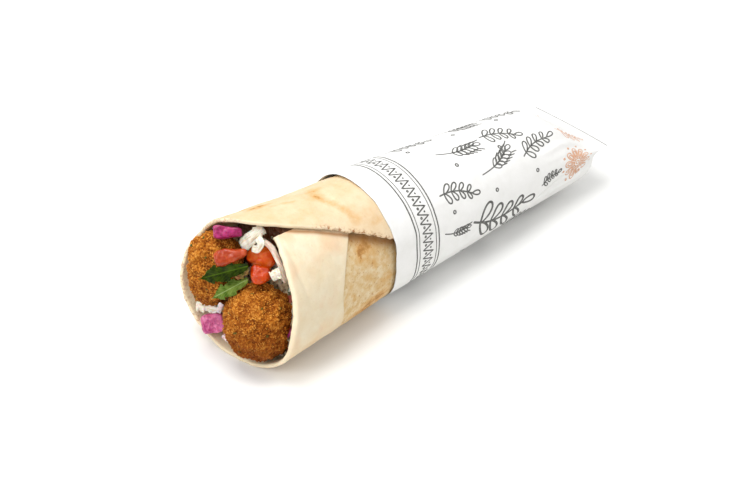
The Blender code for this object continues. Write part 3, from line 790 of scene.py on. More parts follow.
def make_shred_tree():
    """Short bent strips with a flat section, which lie at all angles on a surface."""
    tree, given = new_tree(
        "loose_shreds", Length="Float", Thickness="Float", Density="Float", Seed="Int", Finish="Material")
    front = add_node(tree, "GeometryNodeInputNamedAttribute", {"Name": "front"}, data_type="FLOAT").outputs[0]
    amount = add_node(tree, "ShaderNodeMath", {
        0: front, 1: given["Density"]}, operation="MULTIPLY").outputs[0]
    points = add_node(tree, "GeometryNodeDistributePointsOnFaces", {
        "Mesh": given["Geometry"], "Density": amount, "Seed": given["Seed"]})
    half = add_node(tree, "ShaderNodeMath", {0: given["Length"], 1: 0.5}, operation="MULTIPLY").outputs[0]
    minus = add_node(tree, "ShaderNodeMath", {0: given["Length"], 1: -0.5}, operation="MULTIPLY").outputs[0]
    rise = add_node(tree, "ShaderNodeMath", {0: given["Length"], 1: 0.35}, operation="MULTIPLY").outputs[0]
    strip = add_node(tree, "GeometryNodeCurveQuadraticBezier", {
        "Resolution": 6,
        "Start": add_node(tree, "ShaderNodeCombineXYZ", {0: minus}).outputs[0],
        "Middle": add_node(tree, "ShaderNodeCombineXYZ", {1: rise, 2: rise}).outputs[0],
        "End": add_node(tree, "ShaderNodeCombineXYZ", {0: half}).outputs[0]})
    width = add_node(tree, "ShaderNodeMath", {0: given["Thickness"], 1: 2.4}, operation="MULTIPLY").outputs[0]
    section = add_node(tree, "GeometryNodeCurvePrimitiveQuadrilateral", {
        "Width": width, "Height": given["Thickness"]})
    body = add_node(tree, "GeometryNodeCurveToMesh", {
        "Curve": strip.outputs[0], "Profile Curve": section.outputs[0], "Fill Caps": True})
    turn = add_node(tree, "FunctionNodeRandomValue", {
        0: (0.0, 0.0, 0.0), 1: (FULL_TURN,) * 3, "Seed": given["Seed"]}, data_type="FLOAT_VECTOR")
    size = add_node(tree, "FunctionNodeRandomValue", {
        2: 0.6, 3: 1.25, "Seed": given["Seed"]}, data_type="FLOAT")
    scatter(tree, given, points.outputs["Points"], body.outputs[0], turn.outputs[0], size.outputs[1])
    return tree


def add_plant_finish(name, thin, thick, rough, streak, subsurface):
    """Cut vegetable flesh: wet, a little see-through, with paler veins along its growth."""
    finish, tree, shader = new_material(
        name, Roughness=rough, Subsurface_Weight=subsurface, Subsurface_Scale=0.0025,
        Specular_IOR_Level=0.35, Coat_Weight=0.12, Coat_Roughness=0.12)
    place = add_node(tree, "ShaderNodeTexCoord").outputs["Object"]
    vein = add_node(tree, "ShaderNodeTexNoise", {
        "Vector": place, "Scale": 1000 / streak, "Detail": 4.0, "Roughness": 0.55, "Distortion": 1.2})
    wide = add_node(tree, "ShaderNodeTexNoise", {
        "Vector": place, "Scale": 1000 / (streak * 3), "Detail": 2.0})
    both = add_node(tree, "ShaderNodeMath", {
        0: vein.outputs["Fac"], 1: wide.outputs["Fac"]}, operation="ADD").outputs[0]
    share = add_node(tree, "ShaderNodeMapRange", {
        "Value": both, "From Min": 0.78, "From Max": 1.22}).outputs[0]
    tone = add_node(tree, "ShaderNodeMix", {
        0: share, 6: linear(thin), 7: linear(thick)}, data_type="RGBA").outputs[2]
    tree.links.new(tone, shader.inputs["Base Color"])
    bump = add_node(tree, "ShaderNodeBump", {
        "Height": vein.outputs["Fac"], "Strength": 0.4, "Distance": 0.0004})
    tree.links.new(bump.outputs[0], shader.inputs["Normal"])
    return finish


# Loose shreds of 4 to 9 mm, less than a millimetre thick
SHRED_SIZES = {"Length": 0.0075, "Thickness": 0.0007, "Density": 15000.0, "Seed": 4}
# Cabbage cut a millimetre thin is nearly white, wet, and lets some light through
cabbage_finish = add_plant_finish("cut white cabbage", "#E2D2B8", "#F4F0E6", 0.38, 1.3, 0.35)
grow_on("core_shreds", core, make_shred_tree(), SHRED_SIZES, cabbage_finish, "cabbage")

# Falafel
#
# Two balls of coarse chickpea and herb dough, fried until the crust is brown and rough. The crust is
# crags of a few millimetres, covered in crumbs of about one, with green flecks of herb in it.

FALAFEL_DIAMETER = 0.034
# Centre, proportions, how far the ball is pressed in where it leans on the rim, and its crumbs' seed
FALAFEL = [
    ("falafel_near", (0.0040, -0.0093, 0.0248), (1.00, 1.04, 1.13), 0.0, 3),
    ("falafel_far", (0.0012, 0.0199, 0.0424), (0.88, 0.82, 1.13), 0.0030, 8),
]
# The way to the rim, how far out the pressing starts, and over what distance it grows
PRESSED_SIDE = Vector((-0.725, 0.688, 0.0))
PRESSED_START = 0.0080
PRESSED_RUN = 0.0066
CRAG_DEPTH = 0.0015
CRAG_SIZE = 0.0052
GRAIN_SIZE = 0.0014
GRAIN_DEPTH = 0.00050
# Shifts the pattern of the grains from that of the fine crumb
GRAIN_SHIFT = Vector((3.1, 1.7, 9.2))
CRUMB_SIZE = GRAIN_SIZE * 0.42
CRUMB_DEPTH = 0.00020
RELIEF_SPAN = 0.0010
# The sizes and amounts of the crumbs and of the flecks of herb that stick to the crust
STUCK_CRUMBS = {"Crumb Size": 0.0009, "Flatness": 0.4, "Density": 900000.0}
STUCK_HERBS = {"Crumb Size": 0.0024, "Flatness": 0.2, "Density": 5000.0}
HERB_SEED_STEP = 20
# The heights between which the crust is painted browner, as painted shade on its low side
FAT_TOP = 0.038
FAT_BOTTOM = 0.010


def make_falafel_mesh(name, centre, proportions, pressed):
    """An oval ball: the CAD source's crags, then grains in the crust and fine crumb, pressed in on
    the side where it leans on the rim."""
    bm = bmesh.new()
    bmesh.ops.create_icosphere(bm, subdivisions=7, radius=1.0)
    middle = spot(*centre)
    relief = []
    for vertex in bm.verts:
        outward = vertex.co.normalized()
        reach = Vector([FALAFEL_DIAMETER / 2 * side * part for side, part in zip(proportions, outward)])
        place = Vector(centre) + reach
        crag = CRAG_DEPTH * noise.fractal(place / CRAG_SIZE, 0.7, 2.0, 3)
        near, second = noise.voronoi(place / GRAIN_SIZE + GRAIN_SHIFT)[0][:2]
        grains = GRAIN_DEPTH * (min(1.0, (second - near) * 1.6) - 0.55)
        near, second = noise.voronoi(place / CRUMB_SIZE)[0][:2]
        crumb = CRUMB_DEPTH * (min(1.0, (second - near) * 1.5) - 0.5)
        aside = max(0.0, reach.dot(PRESSED_SIDE) - PRESSED_START) / PRESSED_RUN
        reach -= PRESSED_SIDE * pressed * min(1.0, aside) ** 2
        vertex.co = middle + reach + outward * (crag + grains + crumb)
        relief.append(0.5 + (grains + crumb) / RELIEF_SPAN + crag / CRAG_DEPTH * 0.25)
    mesh = bpy.data.meshes.new(name)
    bm.to_mesh(mesh)
    bm.free()
    layer = mesh.attributes.new("relief", "FLOAT", "POINT")
    layer.data.foreach_set("value", relief)
    mesh.shade_smooth()
    return mesh


def brown_low_side(tree, place, tone):
    """Painted shade: the low side is painted browner and darker, as it lies in shade."""
    height = add_node(tree, "ShaderNodeSeparateXYZ", {0: place}).outputs[2]
    low = add_node(tree, "ShaderNodeMapRange", {
        "Value": height, "From Min": FAT_TOP, "From Max": FAT_BOTTOM, "To Max": 0.85}).outputs[0]
    return add_node(tree, "ShaderNodeMix", {
        0: low, 6: tone, 7: linear("#723204")}, data_type="RGBA").outputs[2]


def add_falafel_finish():
    """Fried dough crust: dry and rough, golden on its grains; by their relief the pits are painted dark brown
    as shade and the grain tops lighter as painted highlight.
    """
    finish, tree, shader = new_material(
        "fried chickpea crust", Roughness=0.75, Specular_IOR_Level=0.12)
    place = add_node(tree, "ShaderNodeTexCoord").outputs["Object"]
    relief = add_node(tree, "ShaderNodeAttribute", attribute_name="relief").outputs["Fac"]
    # Browning changes over 8 mm, grains of 1 mm differ from each other
    browning = add_node(tree, "ShaderNodeTexNoise", {"Vector": place, "Scale": 1000 / 8, "Detail": 3.0})
    bits = add_node(tree, "ShaderNodeTexVoronoi", {"Vector": place, "Scale": 1000 / 1.1})
    pick = add_node(tree, "ShaderNodeSeparateColor", {0: bits.outputs["Color"]}).outputs[0]
    # Painted shade and highlight: the relief darkens the pits and lightens the grain tops, over each grain's
    # own tone
    level = add_node(tree, "ShaderNodeMath", {0: relief, 1: 0.72}, operation="MULTIPLY").outputs[0]
    level = add_node(tree, "ShaderNodeMath", {
        0: pick, 1: 0.30, 2: level}, operation="MULTIPLY_ADD").outputs[0]
    tone = add_node(tree, "ShaderNodeValToRGB", {"Fac": level}, stops=[
        (0.10, linear("#4A2004")), (0.95, linear("#E0A450")),
        (0.34, linear("#8C4A0C")), (0.58, linear("#BE7826"))])
    dark = add_node(tree, "ShaderNodeMapRange", {
        "Value": browning.outputs["Fac"], "From Min": 0.40, "From Max": 0.70, "To Max": 0.55}).outputs[0]
    tone = add_node(tree, "ShaderNodeMix", {
        0: dark, 6: tone.outputs[0], 7: linear("#84420A")}, data_type="RGBA").outputs[2]
    # Painted shade: the low side of the ball is painted browner
    tree.links.new(brown_low_side(tree, place, tone), shader.inputs["Base Color"])
    bump = add_node(tree, "ShaderNodeBump", {
        "Height": bits.outputs["Distance"], "Strength": 0.5, "Distance": 0.0005, "Filter Width": 0.1})
    tree.links.new(bump.outputs[0], shader.inputs["Normal"])
    return finish


def make_crumb_tree():
    """Small angular crumbs stuck on a surface."""
    tree, given = new_tree(
        "stuck_crumbs", Crumb_Size="Float", Flatness="Float", Density="Float", Seed="Int", Finish="Material")
    points = add_node(tree, "GeometryNodeDistributePointsOnFaces", {
        "Mesh": given["Geometry"], "Density": given["Density"], "Seed": given["Seed"]})
    crumb = add_node(tree, "GeometryNodeMeshIcoSphere", {"Radius": 0.5, "Subdivisions": 1})
    low = add_node(tree, "ShaderNodeCombineXYZ", {0: 0.5, 1: 0.4, 2: given["Flatness"]}).outputs[0]
    size = add_node(tree, "FunctionNodeRandomValue", {
        0: low, 1: (1.1, 0.9, 0.8), "Seed": given["Seed"]}, data_type="FLOAT_VECTOR")
    scaled = add_node(tree, "ShaderNodeVectorMath", {
        0: size.outputs[0], "Scale": given["Crumb Size"]}, operation="SCALE")
    spin = add_node(tree, "FunctionNodeRandomValue", {
        0: (-0.5, -0.5, 0.0), 1: (0.5, 0.5, FULL_TURN), "Seed": given["Seed"]}, data_type="FLOAT_VECTOR")
    spin = add_node(tree, "FunctionNodeEulerToRotation", {0: spin.outputs[0]})
    turn = add_node(tree, "FunctionNodeRotateRotation", {
        "Rotation": points.outputs["Rotation"], "Rotate By": spin.outputs[0]}, rotation_space="LOCAL")
    scatter(tree, given, points.outputs["Points"], crumb.outputs[0], turn.outputs[0], scaled.outputs[0])
    return tree


def add_crumb_finish(name, colours, rough):
    """Bits of one kind, each of its own tone, painted browner low down as shade."""
    finish, tree, shader = new_material(name, Roughness=rough, Specular_IOR_Level=0.12)
    place = add_node(tree, "ShaderNodeTexCoord").outputs["Object"]
    bits = add_node(tree, "ShaderNodeTexVoronoi", {"Vector": place, "Scale": 1000 / 1.6})
    pick = add_node(tree, "ShaderNodeSeparateColor", {0: bits.outputs["Color"]}).outputs[0]
    stops = [(number / (len(colours) - 1), linear(code)) for number, code in enumerate(colours)]
    tone = add_node(tree, "ShaderNodeValToRGB", {"Fac": pick}, stops=stops[:1] + stops[-1:] + stops[1:-1])
    tree.links.new(brown_low_side(tree, place, tone.outputs[0]), shader.inputs["Base Color"])
    return finish


falafel_finish = add_falafel_finish()
crumb_finish = add_crumb_finish("fried crumb", ["#80400A", "#AA6218", "#E0A048", "#BC7020"], 0.7)
herb_finish = add_crumb_finish("fried herb", ["#4A4A18", "#66642A", "#3C461A"], 0.6)
crumb_tree = make_crumb_tree()
for name, centre, proportions, pressed, seed in FALAFEL:
    ball = name + "_ball"
    base = add_piece(
        ball, make_falafel_mesh(ball, centre, proportions, pressed), falafel_finish, "falafel", name)
    crumbs = dict(STUCK_CRUMBS, Seed=seed)
    herbs = dict(STUCK_HERBS, Seed=seed + HERB_SEED_STEP)
    grow_on(ball + "_crumbs", base, crumb_tree, crumbs, crumb_finish, "falafel")
    grow_on(ball + "_herbs", base, crumb_tree, herbs, herb_finish, "parsley")

# Pickled turnip and tomato
#
# Hand-cut pieces with soft edges. The turnip is dyed magenta by its pickle, the tomato is ripe, and
# both are wet, so each has a small bright gloss.

# The front pieces face up and out of the open end, as in the CAD source
LEAN = Matrix.Rotation(math.radians(-43.5), 3, "Z") @ Matrix.Rotation(math.radians(53.0), 3, "X")
# Centre, size, spin, how much narrower the right end is, how round the cut has gone, and finish
DICE = [
    ("pickled_turnip_top", (0.0052, 0.0126, 0.0659), (0.0128, 0.0060, 0.0058), -2.0, 0.20, 0.60, "turnip"),
    ("pickled_turnip_low", (-0.0035, 0.0167, 0.0128), (0.0107, 0.0086, 0.0068), 12.0, -0.15, 0.60,
     "pale turnip"),
    ("tomato_dice_left", (-0.0007, 0.0037, 0.0599), (0.0145, 0.0088, 0.0069), 17.0, 0.50, 0.85,
     "pink tomato"),
    # Painted light: this piece takes a lighter tomato finish, as it lies in the flap's shade
    ("tomato_dice_right", (0.0160, 0.0014, 0.0516), (0.0137, 0.0087, 0.0078), -12.0, -0.15, 0.95,
     "bright tomato"),
    ("tomato_dice_low", (0.0072, -0.0083, 0.0511), (0.0087, 0.0101, 0.0076), 4.0, 0.15, 1.00, "tomato"),
]
DICE_SKEW = 0.16
# Vector noise follows the clock until a seed is set. This one gives the CAD source's own cuts
DICE_SEED = 1795792460
noise.seed_set(DICE_SEED)
DICE_CUTS = 39
# From a box to an egg: the power of the rounding at softness 0 and 1
DICE_POWERS = (7.0, 2.6)
# Dents in the cut faces, as (depth, size)
DICE_DENTS = [(0.00085, 0.0052), (0.00034, 0.0021), (0.00010, 0.0008)]


def make_dice_mesh(name, centre, size, spin, taper, softness):
    """A hand-cut block, a little out of square as the CAD source makes it, between a box and an egg."""
    bm = bmesh.new()
    bmesh.ops.create_cube(bm, size=1.0)
    bmesh.ops.subdivide_edges(bm, edges=bm.edges[:], cuts=DICE_CUTS, use_grid_fill=True)
    turn = LEAN @ Matrix.Rotation(math.radians(spin), 3, "Z")
    corners = {}
    for vertex in bm.verts:
        box = vertex.co.copy()
        # The skew of the block's own corners, blended between them
        skew = Vector((0.0, 0.0, 0.0))
        for signs in ((x, y, z) for x in (-0.5, 0.5) for y in (-0.5, 0.5) for z in (-0.5, 0.5)):
            if signs not in corners:
                corners[signs] = noise.noise_vector(Vector(signs) * 3.1 + Vector(centre) * 400.0) * DICE_SKEW
            weight = math.prod(0.5 + 2.0 * side * part for side, part in zip(signs, box))
            skew += corners[signs] * weight
        reach = max(abs(part) for part in box)
        power = mix(*DICE_POWERS, softness)
        length = sum(abs(2.0 * part) ** power for part in box) ** (1.0 / power)
        soft = box / max(length, 1e-6) * 2.0 * reach
        narrow = 1.0 - taper * ease(box.x + 0.5)
        corner = Vector((soft.x, soft.y * narrow, soft.z * mix(1.0, narrow, 0.6))) * 1.06 + skew * 0.9
        point = Vector([side * part for side, part in zip(size, corner)])
        place = spot(*centre) + turn @ point
        dent = sum(depth * noise.noise(place / dent_size) for depth, dent_size in DICE_DENTS)
        vertex.co = place + (turn @ box.normalized()) * dent
    mesh = bpy.data.meshes.new(name)
    bm.to_mesh(mesh)
    bm.free()
    mesh.shade_smooth()
    return mesh


dice_finishes = {
    "turnip": add_plant_finish("pickled turnip flesh", "#B83476", "#7C0440", 0.28, 2.0, 0.30),
    # The low piece has taken up less of the dye, and has paler streaks
    "pale turnip": add_plant_finish("half-dyed turnip flesh", "#E87CAC", "#9C2262", 0.28, 2.4, 0.30),
    "tomato": add_plant_finish("ripe tomato flesh", "#CC4C08", "#AC2E02", 0.22, 2.6, 0.40),
    # The left piece shows its paler wall, and the right one is painted lighter, as painted light on a piece
    # that lies in the flap's shade
    "pink tomato": add_plant_finish("tomato wall flesh", "#B84E24", "#9C2E02", 0.26, 3.2, 0.40),
    "bright tomato": add_plant_finish("clear tomato flesh", "#FF7C2A", "#F25412", 0.20, 2.6, 0.45),
}
for name, centre, size, spin, taper, softness, kind in DICE:
    mesh = make_dice_mesh(name + "_cut", centre, size, spin, taper, softness)
    add_piece(name + "_cut", mesh, dice_finishes[kind], kind.split()[-1], name)

# Cabbage and onion shreds
#
# Strips about a millimetre thick, sliced from a cabbage and a red onion, and tangled by hand: the
# edges are ragged and the strips curl.

# Path, width, thickness, how ragged the edges are, and finish
SHREDS = [
    ("cabbage_sheet", [(0.0174, 0.0006, 0.0688), (0.0140, 0.0009, 0.0677), (0.0111, 0.0026, 0.0638),
                       (0.0086, 0.0074, 0.0588)], 0.0064, 0.0010, 0.38, "cabbage"),
    ("cabbage_curl", [(0.0105, -0.0027, 0.0679), (0.0090, -0.0073, 0.0683), (0.0080, -0.0061, 0.0647),
                      (0.0085, -0.0011, 0.0622)], 0.0036, 0.0008, 0.15, "cabbage"),
    ("cabbage_strip", [(0.0160, 0.0012, 0.0624), (0.0150, -0.0065, 0.0630), (0.0145, -0.0119, 0.0597),
                       (0.0140, -0.0157, 0.0551), (0.0140, -0.0183, 0.0482)], 0.0028, 0.0011, 0.12, "strip"),
    ("cabbage_end", [(0.0078, -0.0150, 0.0531), (0.0085, -0.0172, 0.0552), (0.0090, -0.0210, 0.0583)],
     0.0050, 0.0020, 0.18, "cabbage"),
    ("cabbage_low", [(-0.0044, 0.0284, 0.0177), (-0.0025, 0.0235, 0.0187), (-0.0003, 0.0168, 0.0205)],
     0.0054, 0.0012, 0.50, "cabbage"),
    ("onion_middle", [(-0.0022, 0.0140, 0.0202), (-0.0027, 0.0122, 0.0241), (-0.0044, 0.0080, 0.0309)],
     0.0026, 0.0010, 0.10, "onion"),
    ("onion_low", [(-0.0022, 0.0107, 0.0087), (-0.0022, 0.0086, 0.0079), (-0.0018, 0.0048, 0.0070)],
     0.0030, 0.0012, 0.10, "onion"),
]
SHRED_COLUMNS = 90
SHRED_ROWS = 20
WAVE_SIZE = 0.0022


def bend(path, share):
    """A point on the smooth curve through a path's points."""
    place = share * (len(path) - 1)
    index = min(int(place), len(path) - 2)
    inner = place - index
    before, start = path[max(index - 1, 0)], path[index]
    end, after = path[index + 1], path[min(index + 2, len(path) - 1)]
    curve = 2.0 * start + (end - before) * inner
    curve += (2.0 * before - 5.0 * start + 4.0 * end - after) * inner ** 2
    curve += (3.0 * start - before - 3.0 * end + after) * inner ** 3
    return curve * 0.5


def make_shred_mesh(name, points, width, thickness, ragged):
    """A strip swept along its path, with a thick rib, thin ragged edges and a cross curl."""
    path = [spot(*point) for point in points]
    outward = LEAN @ Vector((0.0, 0.0, 1.0))

    def place(column, row, side):
        share, level = column / SHRED_COLUMNS, row / SHRED_ROWS * 2.0 - 1.0
        to_end = min(share, 1.0 - share)
        middle = bend(path, share)
        ahead = bend(path, min(share + 0.05, 1.0)) - bend(path, max(share - 0.05, 0.0))
        across = outward.cross(ahead).normalized()
        # Torn edges have long bays and short nicks, and the strip narrows at both ends
        side_of_rib = math.copysign(1.0, level)
        edge = 1.0 + ragged * 1.1 * noise.noise(Vector((share * 6.0, side_of_rib, width * 900.0)))
        edge += ragged * 0.5 * noise.noise(Vector((share * 22.0, side_of_rib * 4.0, width * 300.0)))
        reach = width / 2 * level * edge * min(1.0, (to_end + 0.02) * 9.0) ** 0.5
        # The strip arches over its middle, and waves along and across
        wave = thickness * 0.55 * noise.noise(middle / WAVE_SIZE + Vector((0, 0, level)))
        wave += thickness * 0.40 * noise.noise(Vector((share * 2.5, level * 3.2, width * 500.0)))
        arch = thickness * 0.5 * (1.0 - abs(level)) + wave
        # A rib down its middle makes it thickest there, and its edges are thin
        rib = thickness * (0.30 + 0.25 * math.exp(-(level / 0.35) ** 2))
        skin = side * rib * (1.0 - level ** 6) ** 0.5 * min(1.0, to_end * 30.0) ** 0.5
        return middle + across * reach + outward * (arch + skin), (share, (level + 1) / 2), ()

    return sheet_mesh(name, SHRED_COLUMNS, SHRED_ROWS, place)


def add_strip_finish(name, groove, rib):
    """Wet cut strip: its fibre runs lengthways, so pale ribs lie between slightly darker grooves."""
    finish, tree, shader = new_material(
        name, Roughness=0.40, Subsurface_Weight=0.30, Subsurface_Scale=0.0020,
        Coat_Weight=0.20, Coat_Roughness=0.18)
    flat = add_node(tree, "ShaderNodeUVMap", uv_map="flat_sheet").outputs[0]
    # The map is 1 by 1 on each strip: the fibre's pattern has 3 patches along it and 11 across
    long = add_node(tree, "ShaderNodeVectorMath", {
        0: flat, 1: (3.0, 11.0, 1.0)}, operation="MULTIPLY").outputs[0]
    fibre = add_node(tree, "ShaderNodeTexNoise", {
        "Vector": long, "Scale": 1.0, "Detail": 4.0, "Roughness": 0.6, "Distortion": 0.5})
    share = add_node(tree, "ShaderNodeMapRange", {
        "Value": fibre.outputs["Fac"], "From Min": 0.36, "From Max": 0.58}).outputs[0]
    tone = add_node(tree, "ShaderNodeMix", {
        0: share, 6: linear(groove), 7: linear(rib)}, data_type="RGBA").outputs[2]
    tree.links.new(tone, shader.inputs["Base Color"])
    bump = add_node(tree, "ShaderNodeBump", {
        "Height": fibre.outputs["Fac"], "Strength": 0.8, "Distance": 0.0006})
    tree.links.new(bump.outputs[0], shader.inputs["Normal"])
    return finish


shred_finishes = {
    "cabbage": add_strip_finish("white cabbage strip", "#E0CCAC", "#F8F3E8"),
    # The long strip is thinner and has drunk a little of the tomato's juice
    "strip": add_strip_finish("pale cabbage strip", "#E6BEA2", "#FAECE0"),
    # The onion has taken some of the pickle's pink
    "onion": add_strip_finish("pink pickled onion strip", "#DFBCC4", "#F2E6E4"),
}
for name, points, width, thickness, ragged, kind in SHREDS:
    mesh = make_shred_mesh(name + "_shred", points, width, thickness, ragged)
    add_piece(name + "_shred", mesh, shred_finishes[kind], "cabbage" if kind == "strip" else kind, name)

# Parsley
#
# Three flat parsley leaves tucked between the pieces. Each blade is cut into toothed lobes, has a
# rib with side veins, and arches as it dries.

# Stalk, tip, width, arch, how deeply its lobes are cut, and finish
LEAVES = [
    ("parsley_dark", (0.0021, -0.0058, 0.0575), (-0.0147, 0.0112, 0.0491), 0.0102, 0.0022, 0.34, "dark"),
    ("parsley_light", (0.0027, -0.0045, 0.0488), (-0.0105, 0.0078, 0.0370), 0.0090, 0.0013, 0.42, "light"),
    ("parsley_middle", (0.0023, -0.0055, 0.0550), (-0.0024, 0.0016, 0.0492), 0.0070, 0.0004, 0.45, "middle"),
]
LEAF_THICKNESS = 0.0004
LEAF_LOBES = 3
TEETH_TO_A_LOBE = 3.4
# How far back the lobes of one side lie, as a share of the leaf
LOBE_SHIFT = 0.11
LEAF_COLUMNS = 150
LEAF_ROWS = 28
RIPPLE_LONG = 0.0004
RIPPLE_SHORT = 0.00025
RIB_DEPTH = 0.00012


def leaf_edge(share, level, cut):
    """How far a leaf reaches to one side: a broad blade, lobes, and teeth on the lobes."""
    blade = math.sin(math.pi * min(1.0, share * 0.94 + 0.06)) ** 0.8
    shift = 0.0 if level > 0 else LOBE_SHIFT
    lobe = (min(share + shift, 0.999) * LEAF_LOBES) % 1.0
    tooth = (share * LEAF_LOBES * TEETH_TO_A_LOBE + shift) % 1.0
    tip = min(1.0, (1.0 - share) * 5.0 + 0.02)
    return max(0.03, blade * (1.0 - cut * lobe ** 1.3) * (1.0 - cut * 0.22 * tooth) * tip)


def make_leaf_mesh(name, stalk, tip, width, arch, cut):
    """A thin blade from stalk to tip, arched lengthways, drooping at its sides and rippled."""
    outward = LEAN @ Vector((0.0, 0.0, 1.0))
    start = spot(*stalk)
    length = spot(*tip) - start
    side_way = outward.cross(length).normalized()
    face = length.cross(side_way).normalized()

    def place(column, row, side):
        share, level = column / LEAF_COLUMNS, row / LEAF_ROWS * 2.0 - 1.0
        across = level * leaf_edge(share, level, cut)
        # Side veins run forward from the rib, so a lobe's tip lies ahead of its root
        forward = share + 0.10 * abs(across) * (1.0 - share)
        rise = arch * math.sin(math.pi * share) - width * 0.09 * abs(across)
        ripple = RIPPLE_LONG * math.sin(share * 19.0 + level * 2.5)
        ripple += RIPPLE_SHORT * math.sin(share * 43.0) * abs(level)
        vein = RIB_DEPTH * math.exp(-(across / 0.03) ** 2)
        sheet = side * LEAF_THICKNESS / 2 * (1.0 - level ** 8) ** 0.5
        point = start + length * forward + side_way * width / 2 * across
        point += face * (rise + ripple - vein + sheet)
        return point, (share, across * 0.5 + 0.5), ()

    return sheet_mesh(name, LEAF_COLUMNS, LEAF_ROWS, place)


def add_leaf_finish(name, blade, shade, rib):
    """Fresh leaf: waxy, darker between its veins, with light coming through the blade."""
    finish, tree, shader = new_material(
        name, Roughness=0.50, Subsurface_Weight=0.15, Subsurface_Scale=0.001,
        Subsurface_Radius=(0.5, 1.0, 0.2), Specular_IOR_Level=0.07)
    flat = add_node(tree, "ShaderNodeUVMap", uv_map="flat_sheet").outputs[0]
    place = add_node(tree, "ShaderNodeTexCoord").outputs["Object"]
    parts = add_node(tree, "ShaderNodeSeparateXYZ", {0: flat}).outputs
    aside = add_node(tree, "ShaderNodeMath", {0: parts[1], 1: 0.5}, operation="SUBTRACT").outputs[0]
    aside = add_node(tree, "ShaderNodeMath", {0: aside}, operation="ABSOLUTE").outputs[0]
    # Side veins every 1.5 mm or so, leaning forward
    lean = add_node(tree, "ShaderNodeMath", {
        0: aside, 1: -0.7, 2: parts[0]}, operation="MULTIPLY_ADD").outputs[0]
    wave = add_node(tree, "ShaderNodeMath", {0: lean, 1: 62.0}, operation="MULTIPLY").outputs[0]
    wave = add_node(tree, "ShaderNodeMath", {0: wave}, operation="SINE").outputs[0]
    veins = add_node(tree, "ShaderNodeMapRange", {
        "Value": wave, "From Min": 0.86, "From Max": 1.0, "To Max": 0.5}).outputs[0]
    middle = add_node(tree, "ShaderNodeMapRange", {
        "Value": aside, "From Min": 0.035, "From Max": 0.012}).outputs[0]
    lines = add_node(tree, "ShaderNodeMath", {0: veins, 1: middle}, operation="MAXIMUM").outputs[0]
    patch = add_node(tree, "ShaderNodeTexNoise", {"Vector": place, "Scale": 1000 / 3.0, "Detail": 3.0})
    spread = add_node(tree, "ShaderNodeMapRange", {
        "Value": patch.outputs["Fac"], "From Min": 0.35, "From Max": 0.65}).outputs[0]
    tone = add_node(tree, "ShaderNodeMix", {
        0: spread, 6: linear(shade), 7: linear(blade)}, data_type="RGBA").outputs[2]
    tone = add_node(tree, "ShaderNodeMix", {0: lines, 6: tone, 7: linear(rib)}, data_type="RGBA").outputs[2]
    tree.links.new(tone, shader.inputs["Base Color"])
    bump = add_node(tree, "ShaderNodeBump", {"Height": lines, "Strength": 0.5, "Distance": 0.0002})
    tree.links.new(bump.outputs[0], shader.inputs["Normal"])
    return finish


leaf_finishes = {
    "dark": add_leaf_finish("dark parsley leaf", "#2E3E00", "#152200", "#3E5408"),
    "light": add_leaf_finish("light parsley leaf", "#768C3A", "#4E6A1C", "#94A864"),
    # This one lies against the tomato, and is stained by it in places
    "middle": add_leaf_finish("stained parsley leaf", "#B07850", "#5E6E26", "#A08C58"),
}
for name, stalk, tip, width, arch, cut, kind in LEAVES:
    mesh = make_leaf_mesh(name + "_leaf", stalk, tip, width, arch, cut)
    add_piece(name + "_leaf", mesh, leaf_finishes[kind], "parsley", name)

# Paper sleeve
#
# One sheet of white greaseproof paper rolled round the bread with an overlap, open at the mouth. Its
# tail is pinched flat, so the paper gathers there, and its outer edge shows as a low step.

SLEEVE_MOUTH = 0.0748
WRAP_LENGTH = 0.237
PINCH_START = 0.196
UNDERSIDE_PINCH_START = 0.214
TAIL_HEIGHT = 0.0265
TAIL_HALF_WIDTH = 0.0260
TAIL_HALF_THICKNESS = 0.0007
# The paper's gap from the bread at the mouth, which settles to its usual clearance further back
MOUTH_GAP = 0.0004
MOUTH_RUN = 0.015
# It stands off more over the top of the mouth, most at this angle
MOUTH_LOOSENESS = 0.0014
LOOSE_ANGLE = -35.0
LOOSE_SPREAD = 70.0
LOOSE_REACH = 0.060
# Past the flap's edge it sinks in between these angles, most at the mouth
HUG_ANGLES = (66.0, 91.0)
HUG_REACH = 0.050
HUG_SHARE = 0.9
SHEET = 0.00018
# The sheet's outer edge, as (station, angle), and how far it laps over the layer below
SEAM = [(0.0748, 168.0), (0.120, 140.0), (0.1593, 119.5), (0.1858, 100.3), (0.204, 91.5), (0.222, 98.0),
        (0.237, 104.0)]
OVERLAP = 38.0
TONGUE_END = 0.2275
TONGUE_FADE = 0.003
# Creases: their heights, the ring that they are laid out on, and the most that they sink in
LONG_CREASE = 0.00028
SHORT_CREASE = 0.00010
FOLD = 0.00040
PLEAT = 0.0016
CREASE_RING = 0.030
DEEPEST_CREASE = 0.0002
# How far the sheet lifts at its outer edge, and how much closer it lies under the overlap
EDGE_LIFT = 0.00018
UNDER_OVERLAP = 0.00024
# The mouth's edge isn't cut quite straight: depth, size and shift of its long waves and its short ones
MOUTH_CUT = [(0.0007, 0.012, 1.0), (0.0002, 0.003, 5.0)]
MOUTH_CUT_SHARE = 0.06
# The paper stays this far above the table
PAPER_GROUND = 0.00002
SLEEVE_COLUMNS = 300
SLEEVE_ROWS = 150
seam_angle = curve_through(SEAM)


def sleeve_looseness(angle, station):
    """Over the top of the mouth, the paper stands off the bread."""
    apart = abs((angle - LOOSE_ANGLE + 180.0) % 360.0 - 180.0)
    round_share = 1.0 - ease(apart / LOOSE_SPREAD)
    back_share = 1.0 - ease((station - SLEEVE_MOUTH) / LOOSE_REACH)
    return MOUTH_LOOSENESS * round_share * back_share


